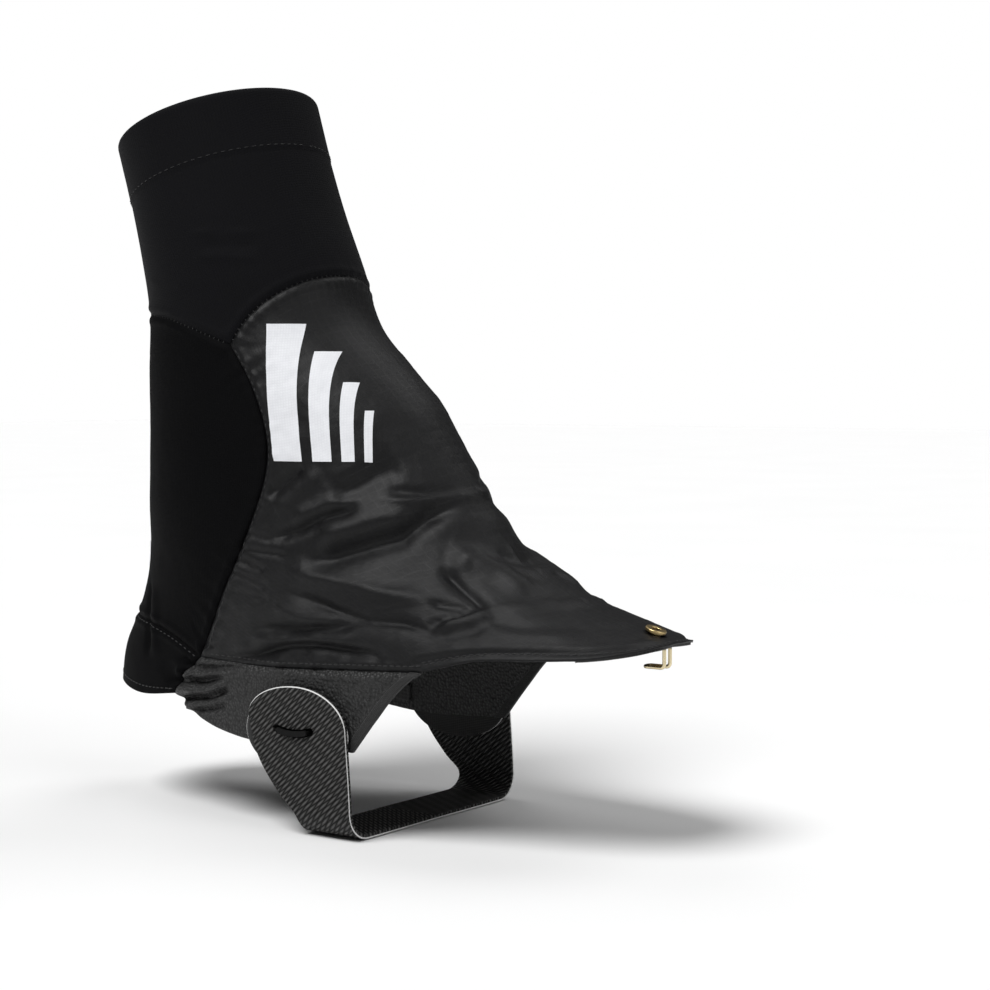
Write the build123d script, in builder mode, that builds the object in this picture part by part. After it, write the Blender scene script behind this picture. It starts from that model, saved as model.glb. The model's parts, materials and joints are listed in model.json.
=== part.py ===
from build123d import *
import math
import os
from collections import namedtuple

# A trail gaiter in the shape it has when worn. Millimetres, +X to the toe, +Y to the wearer's left,
# +Z up. The origin is on the upper face of the underfoot strap, where the arch of the sole rests.

# Overall sizes
foot_half_width = 41.6  # outside of the cloth beside the shoe
cuff_length = 60.5  # from the ankle section to the rim, along the leg
leg_lean = 17.0  # the leg leans back from upright, in degrees
tip_reach = 100.0  # how far the front tip reaches ahead of the strap
lower_edge = 25.8  # height of the lowest cloth edge above the sole

# Cloth thicknesses
panel_wall = 1.2
knit_wall = 1.2
film_wall = 0.25
binding_wall = 0.8
elastic_wall = 0.8
patch_wall = 1.0
pad_wall = 1.8

# Ankle section and leg
ankle_x = -65.3
ankle_z = 171.0
ankle_tilt = 15.0
ankle_depth = 38.2
ankle_half_width = 35.9
calf_height = 20.0  # section above the ankle, along the leg
calf_depth = 35.8
calf_half_width = 35.3
sleeve_radius = 34.9  # the knit under the hem's lower edge

# Cuff hem: a fold of knit with an elastic band inside
hem_height = 22.0
hem_radius = 35.2
rim_radius = 34.2
rim_round = 0.9
hem_bore_radius = 31.0
hem_fold_wall = 1.0
cuff_elastic_wall = 1.0

# Underfoot strap and its hooked ends
strap_width = 22.0
strap_wall = 2.0
strap_sole_corner = 7.0  # inside radius where the strap turns up the side of the sole
strap_gap = 0.8  # between the cloth and the inside of the strap
tab_wall = 1.4
backing_wall = 1.0
hinge_height = 10.0
hinge_gap = 0.3
tab_rear_reach = 30.5
tab_front_reach = 8.8
tab_height = 45.0
tab_shoulder_drop = 10.0  # from the top of the end down to its rear shoulder
tab_front_drop = 13.0
tab_crown_shift = 1.0  # the end's highest point is this far ahead of the slot
tab_waist = 2.4  # the rear edge curves in by this much
tab_waist_drop = 22.0
strap_front_taper = 0.6  # from under the sole up to the hinge
strap_rear_taper = 6.6
strap_turn_height = 1.0  # the rear taper starts here
backing_length = 38.0
backing_height = 26.0

# Slot in the strap's end and the hook blade that passes through it
slot_height = 2.6
slot_length = 17.0
slot_sag = 1.6
slot_x = -12.0
slot_z = 30.2
blade_wall = 1.0
lip_height = 1.8
lip_wall = 0.8
lip_clearance = 0.3  # between the lip and the strap's face
blade_end_clearance = 2.2
base_wall = 0.6
base_length = 22.0
base_height = 9.0

# Lower side pieces and the heel's grip pad
binding_width = 3.6
hem_elastic_height = 6.0
hem_elastic_rise = 4.0  # its rear end is this much above its front end
elastic_inset = 2.4  # from the lower edge up to the elastic
pad_front = -92.0
pad_bottom = 38.0
pad_top = 56.0

# Tip rivet and lace hook
rivet_setback = 7.0  # from the tip
rivet_head_radius = 3.3
rivet_head_wall = 0.9
rivet_head_round = 0.35
rivet_barrel_radius = 1.9
rivet_bore_radius = 1.3
rivet_flange_radius = 2.6
rivet_flange_wall = 0.4
cloth_hole_clearance = 0.1
swivel_clearance = 0.15
seat_depth = 0.15  # the rivet's flat seat is sunk this far into the patch's middle
hook_plate_wall = 1.2
hook_plate_radius = 3.2
washer_wall = 0.7
washer_radius = 3.2
hook_wire_radius = 0.6
hook_bend_radius = 1.2
hook_wire_spacing = 3.4
hook_reach = 5.2
hook_drop = 6.2
hook_return = 7.0
patch_length = 18.0

section_points = 28  # points round each section of the body
side_reach = 90.0  # seam outlines are cut this far out to each side
outside_back = -150.0  # seam outlines are closed beyond these three
outside_front = tip_reach + 50.0
outside_top = cuff_length + 240.0

# A section of the body lies in a plane at (x, z), tilted back; back and front are its two depths.
Section = namedtuple("Section", "x z tilt back front half_width front_power back_power")


def level_section(height, heel_x, front_x, widest_x, narrowing, front_power, back_power):
    return Section(
        widest_x,
        height,
        0,
        widest_x - heel_x,
        front_x - widest_x,
        foot_half_width - narrowing,
        front_power,
        back_power,
    )


lean = math.radians(leg_lean)
leg_up = (-math.sin(lean), 0, math.cos(lean))


def along_leg(distance):
    return ankle_x + distance * leg_up[0], ankle_z + distance * leg_up[2]


def leg_section(distance, depth, half_width):
    x, z = along_leg(distance)
    return Section(x, z, leg_lean, depth, depth, half_width, 2, 2)


# height, heel, front, widest, narrowing, roundness in front and behind
body_sections = [
    level_section(20, -119, tip_reach + 34, 2, 0.0, 2.4, 2.5),
    level_section(36, -120.5, tip_reach + 27, 2, 0.2, 2.4, 2.4),
    level_section(48, -119, tip_reach + 17, 2, 0.4, 2.35, 2.35),
    level_section(60, -113, tip_reach + 5.5, -10, 0.6, 2.25, 2.25),
    level_section(72, -107.8, tip_reach - 31, -30, 0.8, 2.1, 2.1),
    level_section(84, -105.2, 45.5, -43, 1.2, 2, 2),
    level_section(98, -104.2, 33, -52, 2.0, 2, 2),
    level_section(114, -103.5, 21, -56, 3.0, 2, 2),
    level_section(131, -103.5, 9.4, -58, 4.0, 2, 2),
    Section(-61.2, 152, 9, 42.6, 42.6, foot_half_width - 4.8, 2, 2),
    Section(ankle_x, ankle_z, ankle_tilt, ankle_depth, ankle_depth, ankle_half_width, 2, 2),
    leg_section(calf_height, calf_depth, calf_half_width),
    leg_section(cuff_length - hem_height, sleeve_radius, sleeve_radius),
    leg_section(cuff_length, sleeve_radius, sleeve_radius),
]


def slope_stretch(index, end):
    # on a slope a cloth thickness reaches further along a level section
    low = body_sections[max(index - 1, 0)]
    high = body_sections[min(index + 1, len(body_sections) - 1)]
    if body_sections[index].tilt > 0:
        return 1.0
    run = (high.x + end * getattr(high, "front" if end > 0 else "back")) - (
        low.x + end * getattr(low, "front" if end > 0 else "back")
    )
    return math.hypot(1, run / (high.z - low.z))


def section_outline(index, grow):
    section = body_sections[index]
    front = section.front + grow * slope_stretch(index, 1)
    back = section.back + grow * slope_stretch(index, -1)
    half_width = section.half_width + grow
    points = []
    for step in range(section_points):
        angle = 2 * math.pi * step / section_points
        cosine = math.cos(angle)
        sine = math.sin(angle)
        ahead = cosine > 0
        power = section.front_power if ahead else section.back_power
        depth = front if ahead else back
        along = math.copysign(depth * abs(cosine) ** (2 / power), cosine)
        across = math.copysign(half_width * abs(sine) ** (2 / power), sine)
        points.append((along, across))
    return points


hem_foot_x, hem_foot_z = along_leg(cuff_length - hem_height)
hem_foot_plane = Plane(origin=(hem_foot_x, 0, hem_foot_z), z_dir=leg_up)


def body(grow):
    # the closed form of the whole gaiter, its cloth face moved out by grow
    with BuildPart() as form:
        for index, section in enumerate(body_sections):
            tilt = math.radians(section.tilt)
            plane = Plane(
                origin=(section.x, 0, section.z),
                x_dir=(math.cos(tilt), 0, math.sin(tilt)),
                z_dir=(-math.sin(tilt), 0, math.cos(tilt)),
            )
            with BuildSketch(plane):
                with BuildLine():
                    Spline(*section_outline(index, grow), periodic=True)
                make_face()
        loft()
        split(bisect_by=hem_foot_plane, keep=Keep.BOTTOM)
    return form.part


outer_body = body(0)
cloth_layer = outer_body - body(-panel_wall)

# Seam lines, seen from the side as (x, z); each runs from corner to corner.
knit_corner = (-46.6, 152.4)
heel_corner = (-58.4, 50.0)
heel_low_corner = (-71.9, 36.7)
hem_corner = (34.0, 52.4)
low_corner = (9.1, lower_edge)
rear_cuff_seam = [(-112, 165), (-90, 163), (-74, 161.3), (-61, 157.5), knit_corner]
front_cuff_seam = [knit_corner, (-42.5, 160.5), (-34, 170), (-27.5, 175), (-12, 179)]
side_seam = [knit_corner, (-37, 138), (-30, 118), (-36.8, 89.4), (-49.7, 65.3), heel_corner]
heel_seam = [(-118, 61), (-104, 60), (-84.3, 58.2), (-71.2, 55.2), heel_corner]
heel_front = [heel_corner, (-67, 43.5), heel_low_corner]
heel_bottom = [heel_low_corner, (-90.5, 34.6), (-125, 38)]
low_seam = [heel_corner, (-29, 49.5), (9, 51.2), hem_corner]
low_edge = [heel_low_corner, (-54, lower_edge + 3.4), (-30, lower_edge - 0.6), low_corner]
front_edge = [hem_corner, (26.5, 46.5), (18.4, 37.3), low_corner]
tip_exit = (tip_reach + 4, 63.6)
front_hem = [hem_corner, (52, 56.9), (tip_reach - 27, 58), (tip_reach - 6, 60.2), tip_exit]

# Knit cuff: the upper layer of the body, closed by the folded hem round the leg
rim_x, rim_z = along_leg(cuff_length)
hem_plane = Plane(origin=(rim_x, 0, rim_z), x_dir=(math.cos(lean), 0, math.sin(lean)), z_dir=(0, -1, 0))
leg_axis = Axis((rim_x, 0, rim_z), leg_up)
elastic_inside = hem_bore_radius + hem_fold_wall
elastic_outside = elastic_inside + cuff_elastic_wall

with BuildPart() as hem:
    with BuildSketch(hem_plane) as hem_profile:
        with BuildLine():
            Polyline(
                (hem_bore_radius, -hem_height),
                (hem_radius, -hem_height),
                (rim_radius, 0),
                (hem_bore_radius, 0),
                close=True,
            )
        make_face()
        fillet(hem_profile.vertices().group_by(Axis.Y)[-1], rim_round)
    revolve(axis=leg_axis)
    with BuildSketch(hem_plane) as pocket_profile:
        with Locations((elastic_inside, -hem_fold_wall - rim_round)):
            Rectangle(
                cuff_elastic_wall,
                hem_height - 2 * hem_fold_wall - rim_round,
                align=(Align.MIN, Align.MAX),
            )
    revolve(axis=leg_axis, mode=Mode.SUBTRACT)

with BuildPart() as ankle_cuff:
    add(outer_body - body(-knit_wall))
    with BuildSketch(Plane.XZ):
        with BuildLine():
            Spline(*rear_cuff_seam)
            Spline(*front_cuff_seam)
            Polyline(
                front_cuff_seam[-1],
                (outside_front, front_cuff_seam[-1][1]),
                (outside_front, outside_top),
                (outside_back, outside_top),
                (outside_back, rear_cuff_seam[0][1]),
                rear_cuff_seam[0],
            )
        make_face()
    extrude(amount=side_reach, both=True, mode=Mode.INTERSECT)
    add(hem.part)
ankle_cuff.part.label = "ankle_cuff"

with BuildPart() as cuff_elastic:
    add(pocket_profile.sketch)
    revolve(axis=leg_axis)
cuff_elastic.part.label = "cuff_elastic"

# Rear panel: matte stretch cloth round the back of the ankle
with BuildPart() as rear_panel:
    add(cloth_layer)
    with BuildSketch(Plane.XZ):
        with BuildLine():
            Spline(*rear_cuff_seam)
            Spline(*side_seam)
            Spline(*heel_seam)
            Polyline(
                heel_seam[0],
                (outside_back, heel_seam[0][1]),
                (outside_back, rear_cuff_seam[0][1]),
                rear_cuff_seam[0],
            )
        make_face()
    extrude(amount=side_reach, both=True, mode=Mode.INTERSECT)
rear_panel.part.label = "rear_panel"

# Rivet at the tip: it stands square on the cloth, on the middle line
rivet_spot = Axis((tip_reach - rivet_setback, 0, 0), (0, 0, 1))
rivet_hits = outer_body.find_intersection_points(rivet_spot)
rivet_point, rivet_normal = max(rivet_hits, key=lambda hit: hit[0].Z)
rivet_slope = math.atan2(rivet_normal.X, rivet_normal.Z)
rivet_plane = Plane(
    origin=rivet_point,
    x_dir=(math.cos(rivet_slope), 0, -math.sin(rivet_slope)),
    z_dir=(math.sin(rivet_slope), 0, math.cos(rivet_slope)),
)
rivet_axis = Axis(rivet_point, rivet_plane.z_dir)
cloth_hole_radius = rivet_barrel_radius + cloth_hole_clearance

# Front panel: ripstop cloth over the instep, down to the pointed tip
with BuildPart() as front_panel:
    add(cloth_layer)
    with BuildSketch(Plane.XZ):
        with BuildLine():
            Spline(*front_cuff_seam)
            Spline(*side_seam)
            Spline(*low_seam)
            Spline(*front_hem)
            Polyline(
                tip_exit,
                (outside_front, tip_exit[1]),
                (outside_front, front_cuff_seam[-1][1]),
                front_cuff_seam[-1],
            )
        make_face()
    extrude(amount=side_reach, both=True, mode=Mode.INTERSECT)
    with BuildSketch(rivet_plane):
        Circle(cloth_hole_radius)
    extrude(amount=panel_wall + patch_wall, both=True, mode=Mode.SUBTRACT)
front_panel.part.label = "front_panel"

# Patch inside the tip, with a flat seat for the rivet and the hook's wires
patch_seat_depth = panel_wall + patch_wall + seat_depth
seat_half_width = hook_plate_radius + 1
with BuildPart() as tip_patch:
    add(body(-panel_wall) - body(-panel_wall - patch_wall))
    with BuildSketch(Plane.XZ):
        with BuildLine():
            Spline(*[(x, z + patch_wall) for x, z in front_hem])
            Polyline(
                (tip_exit[0], tip_exit[1] + patch_wall),
                (outside_front, tip_exit[1] + patch_wall),
                (outside_front, outside_top),
                (hem_corner[0], outside_top),
                (hem_corner[0], hem_corner[1] + patch_wall),
            )
        make_face()
    extrude(amount=side_reach, both=True, mode=Mode.INTERSECT)
    with BuildSketch(Plane.XZ):
        with Locations((tip_reach - patch_length, 0)):
            Rectangle(outside_top, outside_top, align=(Align.MIN, Align.MIN))
    extrude(amount=side_reach, both=True, mode=Mode.INTERSECT)
    with BuildSketch(rivet_plane):
        Circle(cloth_hole_radius)
    extrude(amount=-panel_wall - 3 * patch_wall, mode=Mode.SUBTRACT)
    with BuildSketch(rivet_plane.offset(-patch_seat_depth)):
        with Locations((-seat_half_width, 0)):
            Rectangle(patch_length, 2 * seat_half_width, align=(Align.MIN, Align.CENTER))
    extrude(amount=-patch_length, mode=Mode.SUBTRACT)
tip_patch.part.label = "tip_patch"

# Brass rivet: ring head on the cloth, tube through it, flange clinched over the washer
hook_plate_top = patch_seat_depth + swivel_clearance
washer_top = hook_plate_top + hook_plate_wall + swivel_clearance
washer_bottom = washer_top + washer_wall

with BuildPart() as lace_hook_rivet:
    with BuildSketch(rivet_plane):
        Circle(rivet_head_radius)
        Circle(rivet_bore_radius, mode=Mode.SUBTRACT)
    extrude(amount=rivet_head_wall)
    fillet(
        lace_hook_rivet.edges().filter_by(GeomType.CIRCLE).group_by(rivet_axis)[-1],
        rivet_head_round,
    )
    with BuildSketch(rivet_plane):
        Circle(rivet_barrel_radius)
        Circle(rivet_bore_radius, mode=Mode.SUBTRACT)
    extrude(amount=-washer_bottom - rivet_flange_wall)
    with BuildSketch(rivet_plane.offset(-washer_bottom)):
        Circle(rivet_flange_radius)
        Circle(rivet_bore_radius, mode=Mode.SUBTRACT)
    extrude(amount=-rivet_flange_wall)
lace_hook_rivet.part.label = "lace_hook_rivet"

with BuildPart() as rivet_washer:
    with BuildSketch(rivet_plane.offset(-washer_top)):
        Circle(washer_radius)
        Circle(rivet_barrel_radius, mode=Mode.SUBTRACT)
    extrude(amount=-washer_wall)
rivet_washer.part.label = "rivet_washer"

# Lace hook: a plate that turns on the rivet, and one bent wire with its mouth towards the heel
hook_wire_depth = hook_plate_top + hook_plate_wall / 2
wire_start = rivet_plane.from_local_coords(
    (rivet_barrel_radius + hook_wire_radius, 0, -hook_wire_depth)
)
wire_bend = rivet_plane.from_local_coords((hook_reach, 0, -hook_wire_depth))
half_spacing = hook_wire_spacing / 2
one_side = [
    (wire_start.X, wire_start.Z),
    (wire_bend.X, wire_bend.Z),
    (wire_bend.X, wire_bend.Z - hook_drop),
    (wire_bend.X - hook_return, wire_bend.Z - hook_drop),
]
wire_points = [(x, -half_spacing, z) for x, z in one_side]
wire_points += [(x, half_spacing, z) for x, z in reversed(one_side)]

with BuildPart() as lace_hook:
    with BuildLine() as wire_path:
        FilletPolyline(*wire_points, radius=hook_bend_radius)
    with BuildSketch(Plane(origin=wire_path.line @ 0, z_dir=wire_path.line % 0)):
        Circle(hook_wire_radius)
    sweep()
    with BuildSketch(rivet_plane.offset(-hook_plate_top)):
        Circle(hook_plate_radius)
        Circle(rivet_barrel_radius + swivel_clearance, mode=Mode.SUBTRACT)
    extrude(amount=-hook_plate_wall)
    with BuildSketch(rivet_plane.offset(-hook_plate_top)):
        Circle(rivet_barrel_radius + swivel_clearance)
    extrude(amount=-hook_plate_wall, mode=Mode.SUBTRACT)
lace_hook.part.label = "lace_hook"

# Heel patch and the grip pad inside it
with BuildPart() as heel_patch:
    add(cloth_layer)
    with BuildSketch(Plane.XZ):
        with BuildLine():
            Spline(*heel_seam)
            Spline(*heel_front)
            Spline(*heel_bottom)
            Polyline(
                heel_bottom[-1],
                (outside_back, heel_bottom[-1][1]),
                (outside_back, heel_seam[0][1]),
                heel_seam[0],
            )
        make_face()
    extrude(amount=side_reach, both=True, mode=Mode.INTERSECT)
heel_patch.part.label = "heel_patch"

with BuildPart() as heel_grip_pad:
    add(body(-panel_wall) - body(-panel_wall - pad_wall))
    with BuildSketch(Plane.XZ):
        with Locations((pad_front, pad_bottom)):
            Rectangle(-outside_back, pad_top - pad_bottom, align=(Align.MAX, Align.MIN))
    extrude(amount=side_reach, both=True, mode=Mode.INTERSECT)
heel_grip_pad.part.label = "heel_grip_pad"

# Print on the right side of the front panel: four slanted bars, and a small mark at the back
film_layer = body(film_wall) - outer_body
bar_bottom = 115.0
bar_lean = 0.21
bars = [(-27, 9.5, 44), (-14, 6, 35), (-5, 3.8, 25), (1.5, 2.2, 16)]  # left, width, height
with BuildPart() as front_graphic:
    add(film_layer)
    with BuildSketch(Plane.XZ):
        for left, width, height in bars:
            with BuildLine():
                Polyline(
                    (left, bar_bottom),
                    (left + width, bar_bottom),
                    (left + width - bar_lean * height, bar_bottom + height),
                    (left - bar_lean * height, bar_bottom + height),
                    close=True,
                )
            make_face()
    extrude(amount=side_reach, mode=Mode.INTERSECT)
front_graphic.part.label = "front_graphic"

mark_x = -96.0
mark_z = 81.5
mark_length = 9.0
mark_height = 5.0
with BuildPart() as back_mark:
    add(film_layer)
    with BuildSketch(Plane.XZ):
        with Locations((mark_x, mark_z)):
            Ellipse(mark_height / 2, mark_length / 2)
    extrude(amount=side_reach, mode=Mode.INTERSECT)
back_mark.part.label = "back_mark"

# Strap: a flat band under the sole that turns up beside it, cut to its tapered side view
strap_inside = foot_half_width + strap_gap
strap_outside = strap_inside + strap_wall
strap_front_top = strap_width / 2 - strap_front_taper
strap_rear_top = -strap_width / 2 - strap_rear_taper
with BuildPart() as underfoot_strap:
    with BuildSketch(Plane.YZ):
        with Locations((0, -strap_wall)):
            Rectangle(2 * strap_outside, hinge_height + strap_wall, align=(Align.CENTER, Align.MIN))
    extrude(amount=strap_width * 2, both=True)
    fillet(
        underfoot_strap.edges().filter_by(Axis.X).group_by(Axis.Z)[0], strap_sole_corner + strap_wall
    )
    with BuildSketch(Plane.YZ) as sole_profile:
        Rectangle(2 * strap_inside, 2 * outside_top, align=(Align.CENTER, Align.MIN))
        fillet(sole_profile.vertices().group_by(Axis.Y)[0], strap_sole_corner)
    extrude(amount=strap_width * 2, both=True, mode=Mode.SUBTRACT)
    with BuildSketch(Plane.XZ):
        with BuildLine():
            Polyline(
                (-strap_width / 2, -2 * strap_wall),
                (strap_width / 2, -2 * strap_wall),
                (strap_front_top, hinge_height),
                (strap_rear_top, hinge_height),
                (-strap_width / 2, strap_turn_height),
                close=True,
            )
        make_face()
    extrude(amount=side_reach, both=True, mode=Mode.INTERSECT)
underfoot_strap.part.label = "underfoot_strap"

# Strap ends, hooks and lower side pieces, made once for each side of the foot
tab_bottom = hinge_height + hinge_gap
tab_inside = strap_inside + backing_wall
tab_outside = tab_inside + tab_wall
tab_shoulder = tab_height - tab_shoulder_drop
tab_front_top = tab_height - tab_front_drop
base_outside = foot_half_width + base_wall
lip_inside = tab_outside + lip_clearance
slot_bend = ((slot_length / 2) ** 2 + slot_sag**2) / (2 * slot_sag)
blade_length = slot_length - 2 * blade_end_clearance


def slot_arcs(length, height):
    # the four arcs of a slot whose middle sags like a smile
    turn = math.asin((length - height) / 2 / slot_bend)
    past = turn + height / 2 / slot_bend
    low = slot_bend + height / 2
    high = slot_bend - height / 2
    return [
        [slot_point(low, -turn), slot_point(low, 0), slot_point(low, turn)],
        [slot_point(low, turn), slot_point(slot_bend, past), slot_point(high, turn)],
        [slot_point(high, turn), slot_point(high, 0), slot_point(high, -turn)],
        [slot_point(high, -turn), slot_point(slot_bend, -past), slot_point(low, -turn)],
    ]


def slot_point(radius, angle):
    middle_z = slot_z + slot_bend
    return slot_x + radius * math.sin(angle), middle_z - radius * math.cos(angle)


def slot_face(plane, length, height):
    with BuildSketch(plane) as sketch:
        with BuildLine():
            for arc in slot_arcs(length, height):
                ThreePointArc(*arc)
        make_face()
    return sketch.sketch


def cut_from_side(layer, side, *curves):
    # the part of a cloth layer inside an outline seen from the side, on one side of the foot
    with BuildPart() as piece:
        add(layer)
        with BuildSketch(Plane.XZ):
            with BuildLine():
                for curve in curves:
                    if len(curve) > 2:
                        Spline(*curve)
                    else:
                        Line(*curve)
            make_face()
        extrude(amount=side * side_reach, mode=Mode.INTERSECT)
    return piece.part


def behind(curve, distance):
    return [(x - distance, z) for x, z in curve]


binding_layer = body(binding_wall) - outer_body
base_layer = body(base_wall) - outer_body
hem_elastic_layer = body(-panel_wall) - body(-panel_wall - elastic_wall)
hem_elastic_rear = heel_low_corner[0] + 6
hem_elastic_front = low_edge[2][0]

pieces = [
    ankle_cuff,
    cuff_elastic,
    rear_panel,
    front_panel,
    tip_patch,
    lace_hook_rivet,
    rivet_washer,
    lace_hook,
    heel_patch,
    heel_grip_pad,
    front_graphic,
    back_mark,
    underfoot_strap,
]
finished = [piece.part for piece in pieces]

for name, side in (("right", 1), ("left", -1)):
    reinforcement = cut_from_side(cloth_layer, side, low_seam, front_edge, low_edge, heel_front)
    reinforcement.label = "side_reinforcement_" + name
    finished.append(reinforcement)

    inner_edge = behind(front_edge, binding_width)
    top_link = [inner_edge[0], front_edge[0]]
    bottom_link = [front_edge[-1], inner_edge[-1]]
    binding = cut_from_side(binding_layer, side, front_edge, bottom_link, inner_edge, top_link)
    binding.label = "side_binding_" + name
    finished.append(binding)

    elastic_bottom = lower_edge + elastic_inset
    with BuildPart() as hem_elastic:
        add(hem_elastic_layer)
        with BuildSketch(Plane.XZ):
            with BuildLine():
                Polyline(
                    (hem_elastic_rear, elastic_bottom + hem_elastic_rise),
                    (hem_elastic_front, elastic_bottom),
                    (hem_elastic_front, elastic_bottom + hem_elastic_height),
                    (hem_elastic_rear, elastic_bottom + hem_elastic_rise + hem_elastic_height),
                    close=True,
                )
            make_face()
        extrude(amount=side * side_reach, mode=Mode.INTERSECT)
    hem_elastic.part.label = "hem_elastic_" + name
    finished.append(hem_elastic.part)

    with BuildPart() as hook_base:
        add(base_layer)
        with BuildSketch(Plane.XZ):
            with Locations((slot_x, slot_z + slot_sag / 2)):
                RectangleRounded(base_length, base_height, base_height / 3)
        extrude(amount=side * side_reach, mode=Mode.INTERSECT)
    hook_base.part.label = "strap_hook_base_" + name
    finished.append(hook_base.part)

    with BuildPart() as strap_hook:
        extrude(
            slot_face(Plane.XZ.offset(side * base_outside), blade_length, blade_wall),
            amount=lip_inside - base_outside,
            dir=(0, -side, 0),
        )
        extrude(
            slot_face(Plane.XZ.offset(side * lip_inside), blade_length, lip_height),
            amount=lip_wall,
            dir=(0, -side, 0),
        )
    strap_hook.part.label = "strap_hook_" + name
    finished.append(strap_hook.part)

    with BuildPart() as backing:
        with BuildSketch(Plane.XZ.offset(side * strap_inside)):
            with Locations((slot_x, slot_z)):
                Ellipse(backing_length / 2, backing_height / 2)
        extrude(amount=side * backing_wall)
        extrude(
            slot_face(Plane.XZ.offset(side * strap_inside), slot_length, slot_height),
            amount=backing_wall,
            dir=(0, -side, 0),
            mode=Mode.SUBTRACT,
        )
    backing.part.label = "strap_backing_" + name
    finished.append(backing.part)

    with BuildPart() as tab:
        with BuildSketch(Plane.XZ.offset(side * tab_inside)):
            with BuildLine():
                Line((strap_rear_top, tab_bottom), (strap_front_top, tab_bottom))
                Line((strap_front_top, tab_bottom), (tab_front_reach, tab_front_top))
                Spline(
                    (tab_front_reach, tab_front_top),
                    (slot_x + tab_crown_shift, tab_height),
                    (-tab_rear_reach, tab_shoulder),
                    tangents=((0, 1), (0, -1)),
                )
                Spline(
                    (-tab_rear_reach, tab_shoulder),
                    (-tab_rear_reach + tab_waist, tab_height - tab_waist_drop),
                    (strap_rear_top, tab_bottom),
                )
            make_face()
        extrude(amount=side * tab_wall)
        extrude(
            slot_face(Plane.XZ.offset(side * tab_inside), slot_length, slot_height),
            amount=tab_wall,
            dir=(0, -side, 0),
            mode=Mode.SUBTRACT,
        )
    tab.part.label = "strap_tab_" + name
    finished.append(tab.part)

os.makedirs("parts", exist_ok=True)
for solid in finished:
    export_step(solid, "parts/" + solid.label + ".step")
    print(solid.label, round(solid.volume, 1))
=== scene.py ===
import json
import math
import bmesh
import bpy
import numpy as np
from mathutils import Matrix, Vector, kdtree, noise

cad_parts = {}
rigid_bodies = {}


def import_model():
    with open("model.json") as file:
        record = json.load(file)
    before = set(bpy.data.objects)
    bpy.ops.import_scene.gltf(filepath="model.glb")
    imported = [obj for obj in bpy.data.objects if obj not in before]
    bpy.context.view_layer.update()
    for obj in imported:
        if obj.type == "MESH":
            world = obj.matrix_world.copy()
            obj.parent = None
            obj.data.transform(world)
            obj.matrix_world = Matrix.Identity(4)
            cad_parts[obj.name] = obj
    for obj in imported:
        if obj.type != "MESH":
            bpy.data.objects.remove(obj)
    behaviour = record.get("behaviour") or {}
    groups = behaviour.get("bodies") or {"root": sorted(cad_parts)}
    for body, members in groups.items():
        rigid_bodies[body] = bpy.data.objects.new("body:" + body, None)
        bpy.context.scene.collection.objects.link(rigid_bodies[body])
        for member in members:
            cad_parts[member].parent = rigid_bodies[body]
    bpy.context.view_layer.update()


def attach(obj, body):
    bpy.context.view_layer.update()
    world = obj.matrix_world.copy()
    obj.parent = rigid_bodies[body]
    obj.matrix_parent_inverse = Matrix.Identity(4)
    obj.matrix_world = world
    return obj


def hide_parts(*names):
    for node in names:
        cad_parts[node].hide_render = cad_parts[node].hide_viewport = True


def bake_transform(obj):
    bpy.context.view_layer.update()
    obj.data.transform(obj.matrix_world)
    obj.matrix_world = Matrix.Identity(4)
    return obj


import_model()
mm = 0.001
noise.seed_set(1)  # without it the folds lie a little differently each run
print("frame loaded")

# ---- camera, floor and lights ----
studio = {
    "target": (34, 0, 104.5),
    "azimuth": 35,
    "elevation": 3,
    "distance": 650,
    "lens": 74.7,
    "floorHeight": -0.0021,
    "floorSize": 12.0,
    "worldGlow": 0.07,
    "worldSeen": 1.0,
    # name: azimuth, elevation, how wide the light looks in degrees, strength
    "lights": {
        "keyLight": (-14, 60, 30, 2.72),
        "fillLight": (88, 34, 40, 0.6),
        "backLight": (165, 55, 34, 0.55),
        "farLight": (245, 50, 34, 0.35),
    },
}


def aroundTarget(azimuth, elevation, distance):
    turn, rise = math.radians(azimuth), math.radians(elevation)
    back = Vector((math.sin(turn) * math.cos(rise), -math.cos(turn) * math.cos(rise), math.sin(rise)))
    return Vector(studio["target"]) * mm + back * distance, back.to_track_quat("Z", "Y").to_euler()


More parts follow.
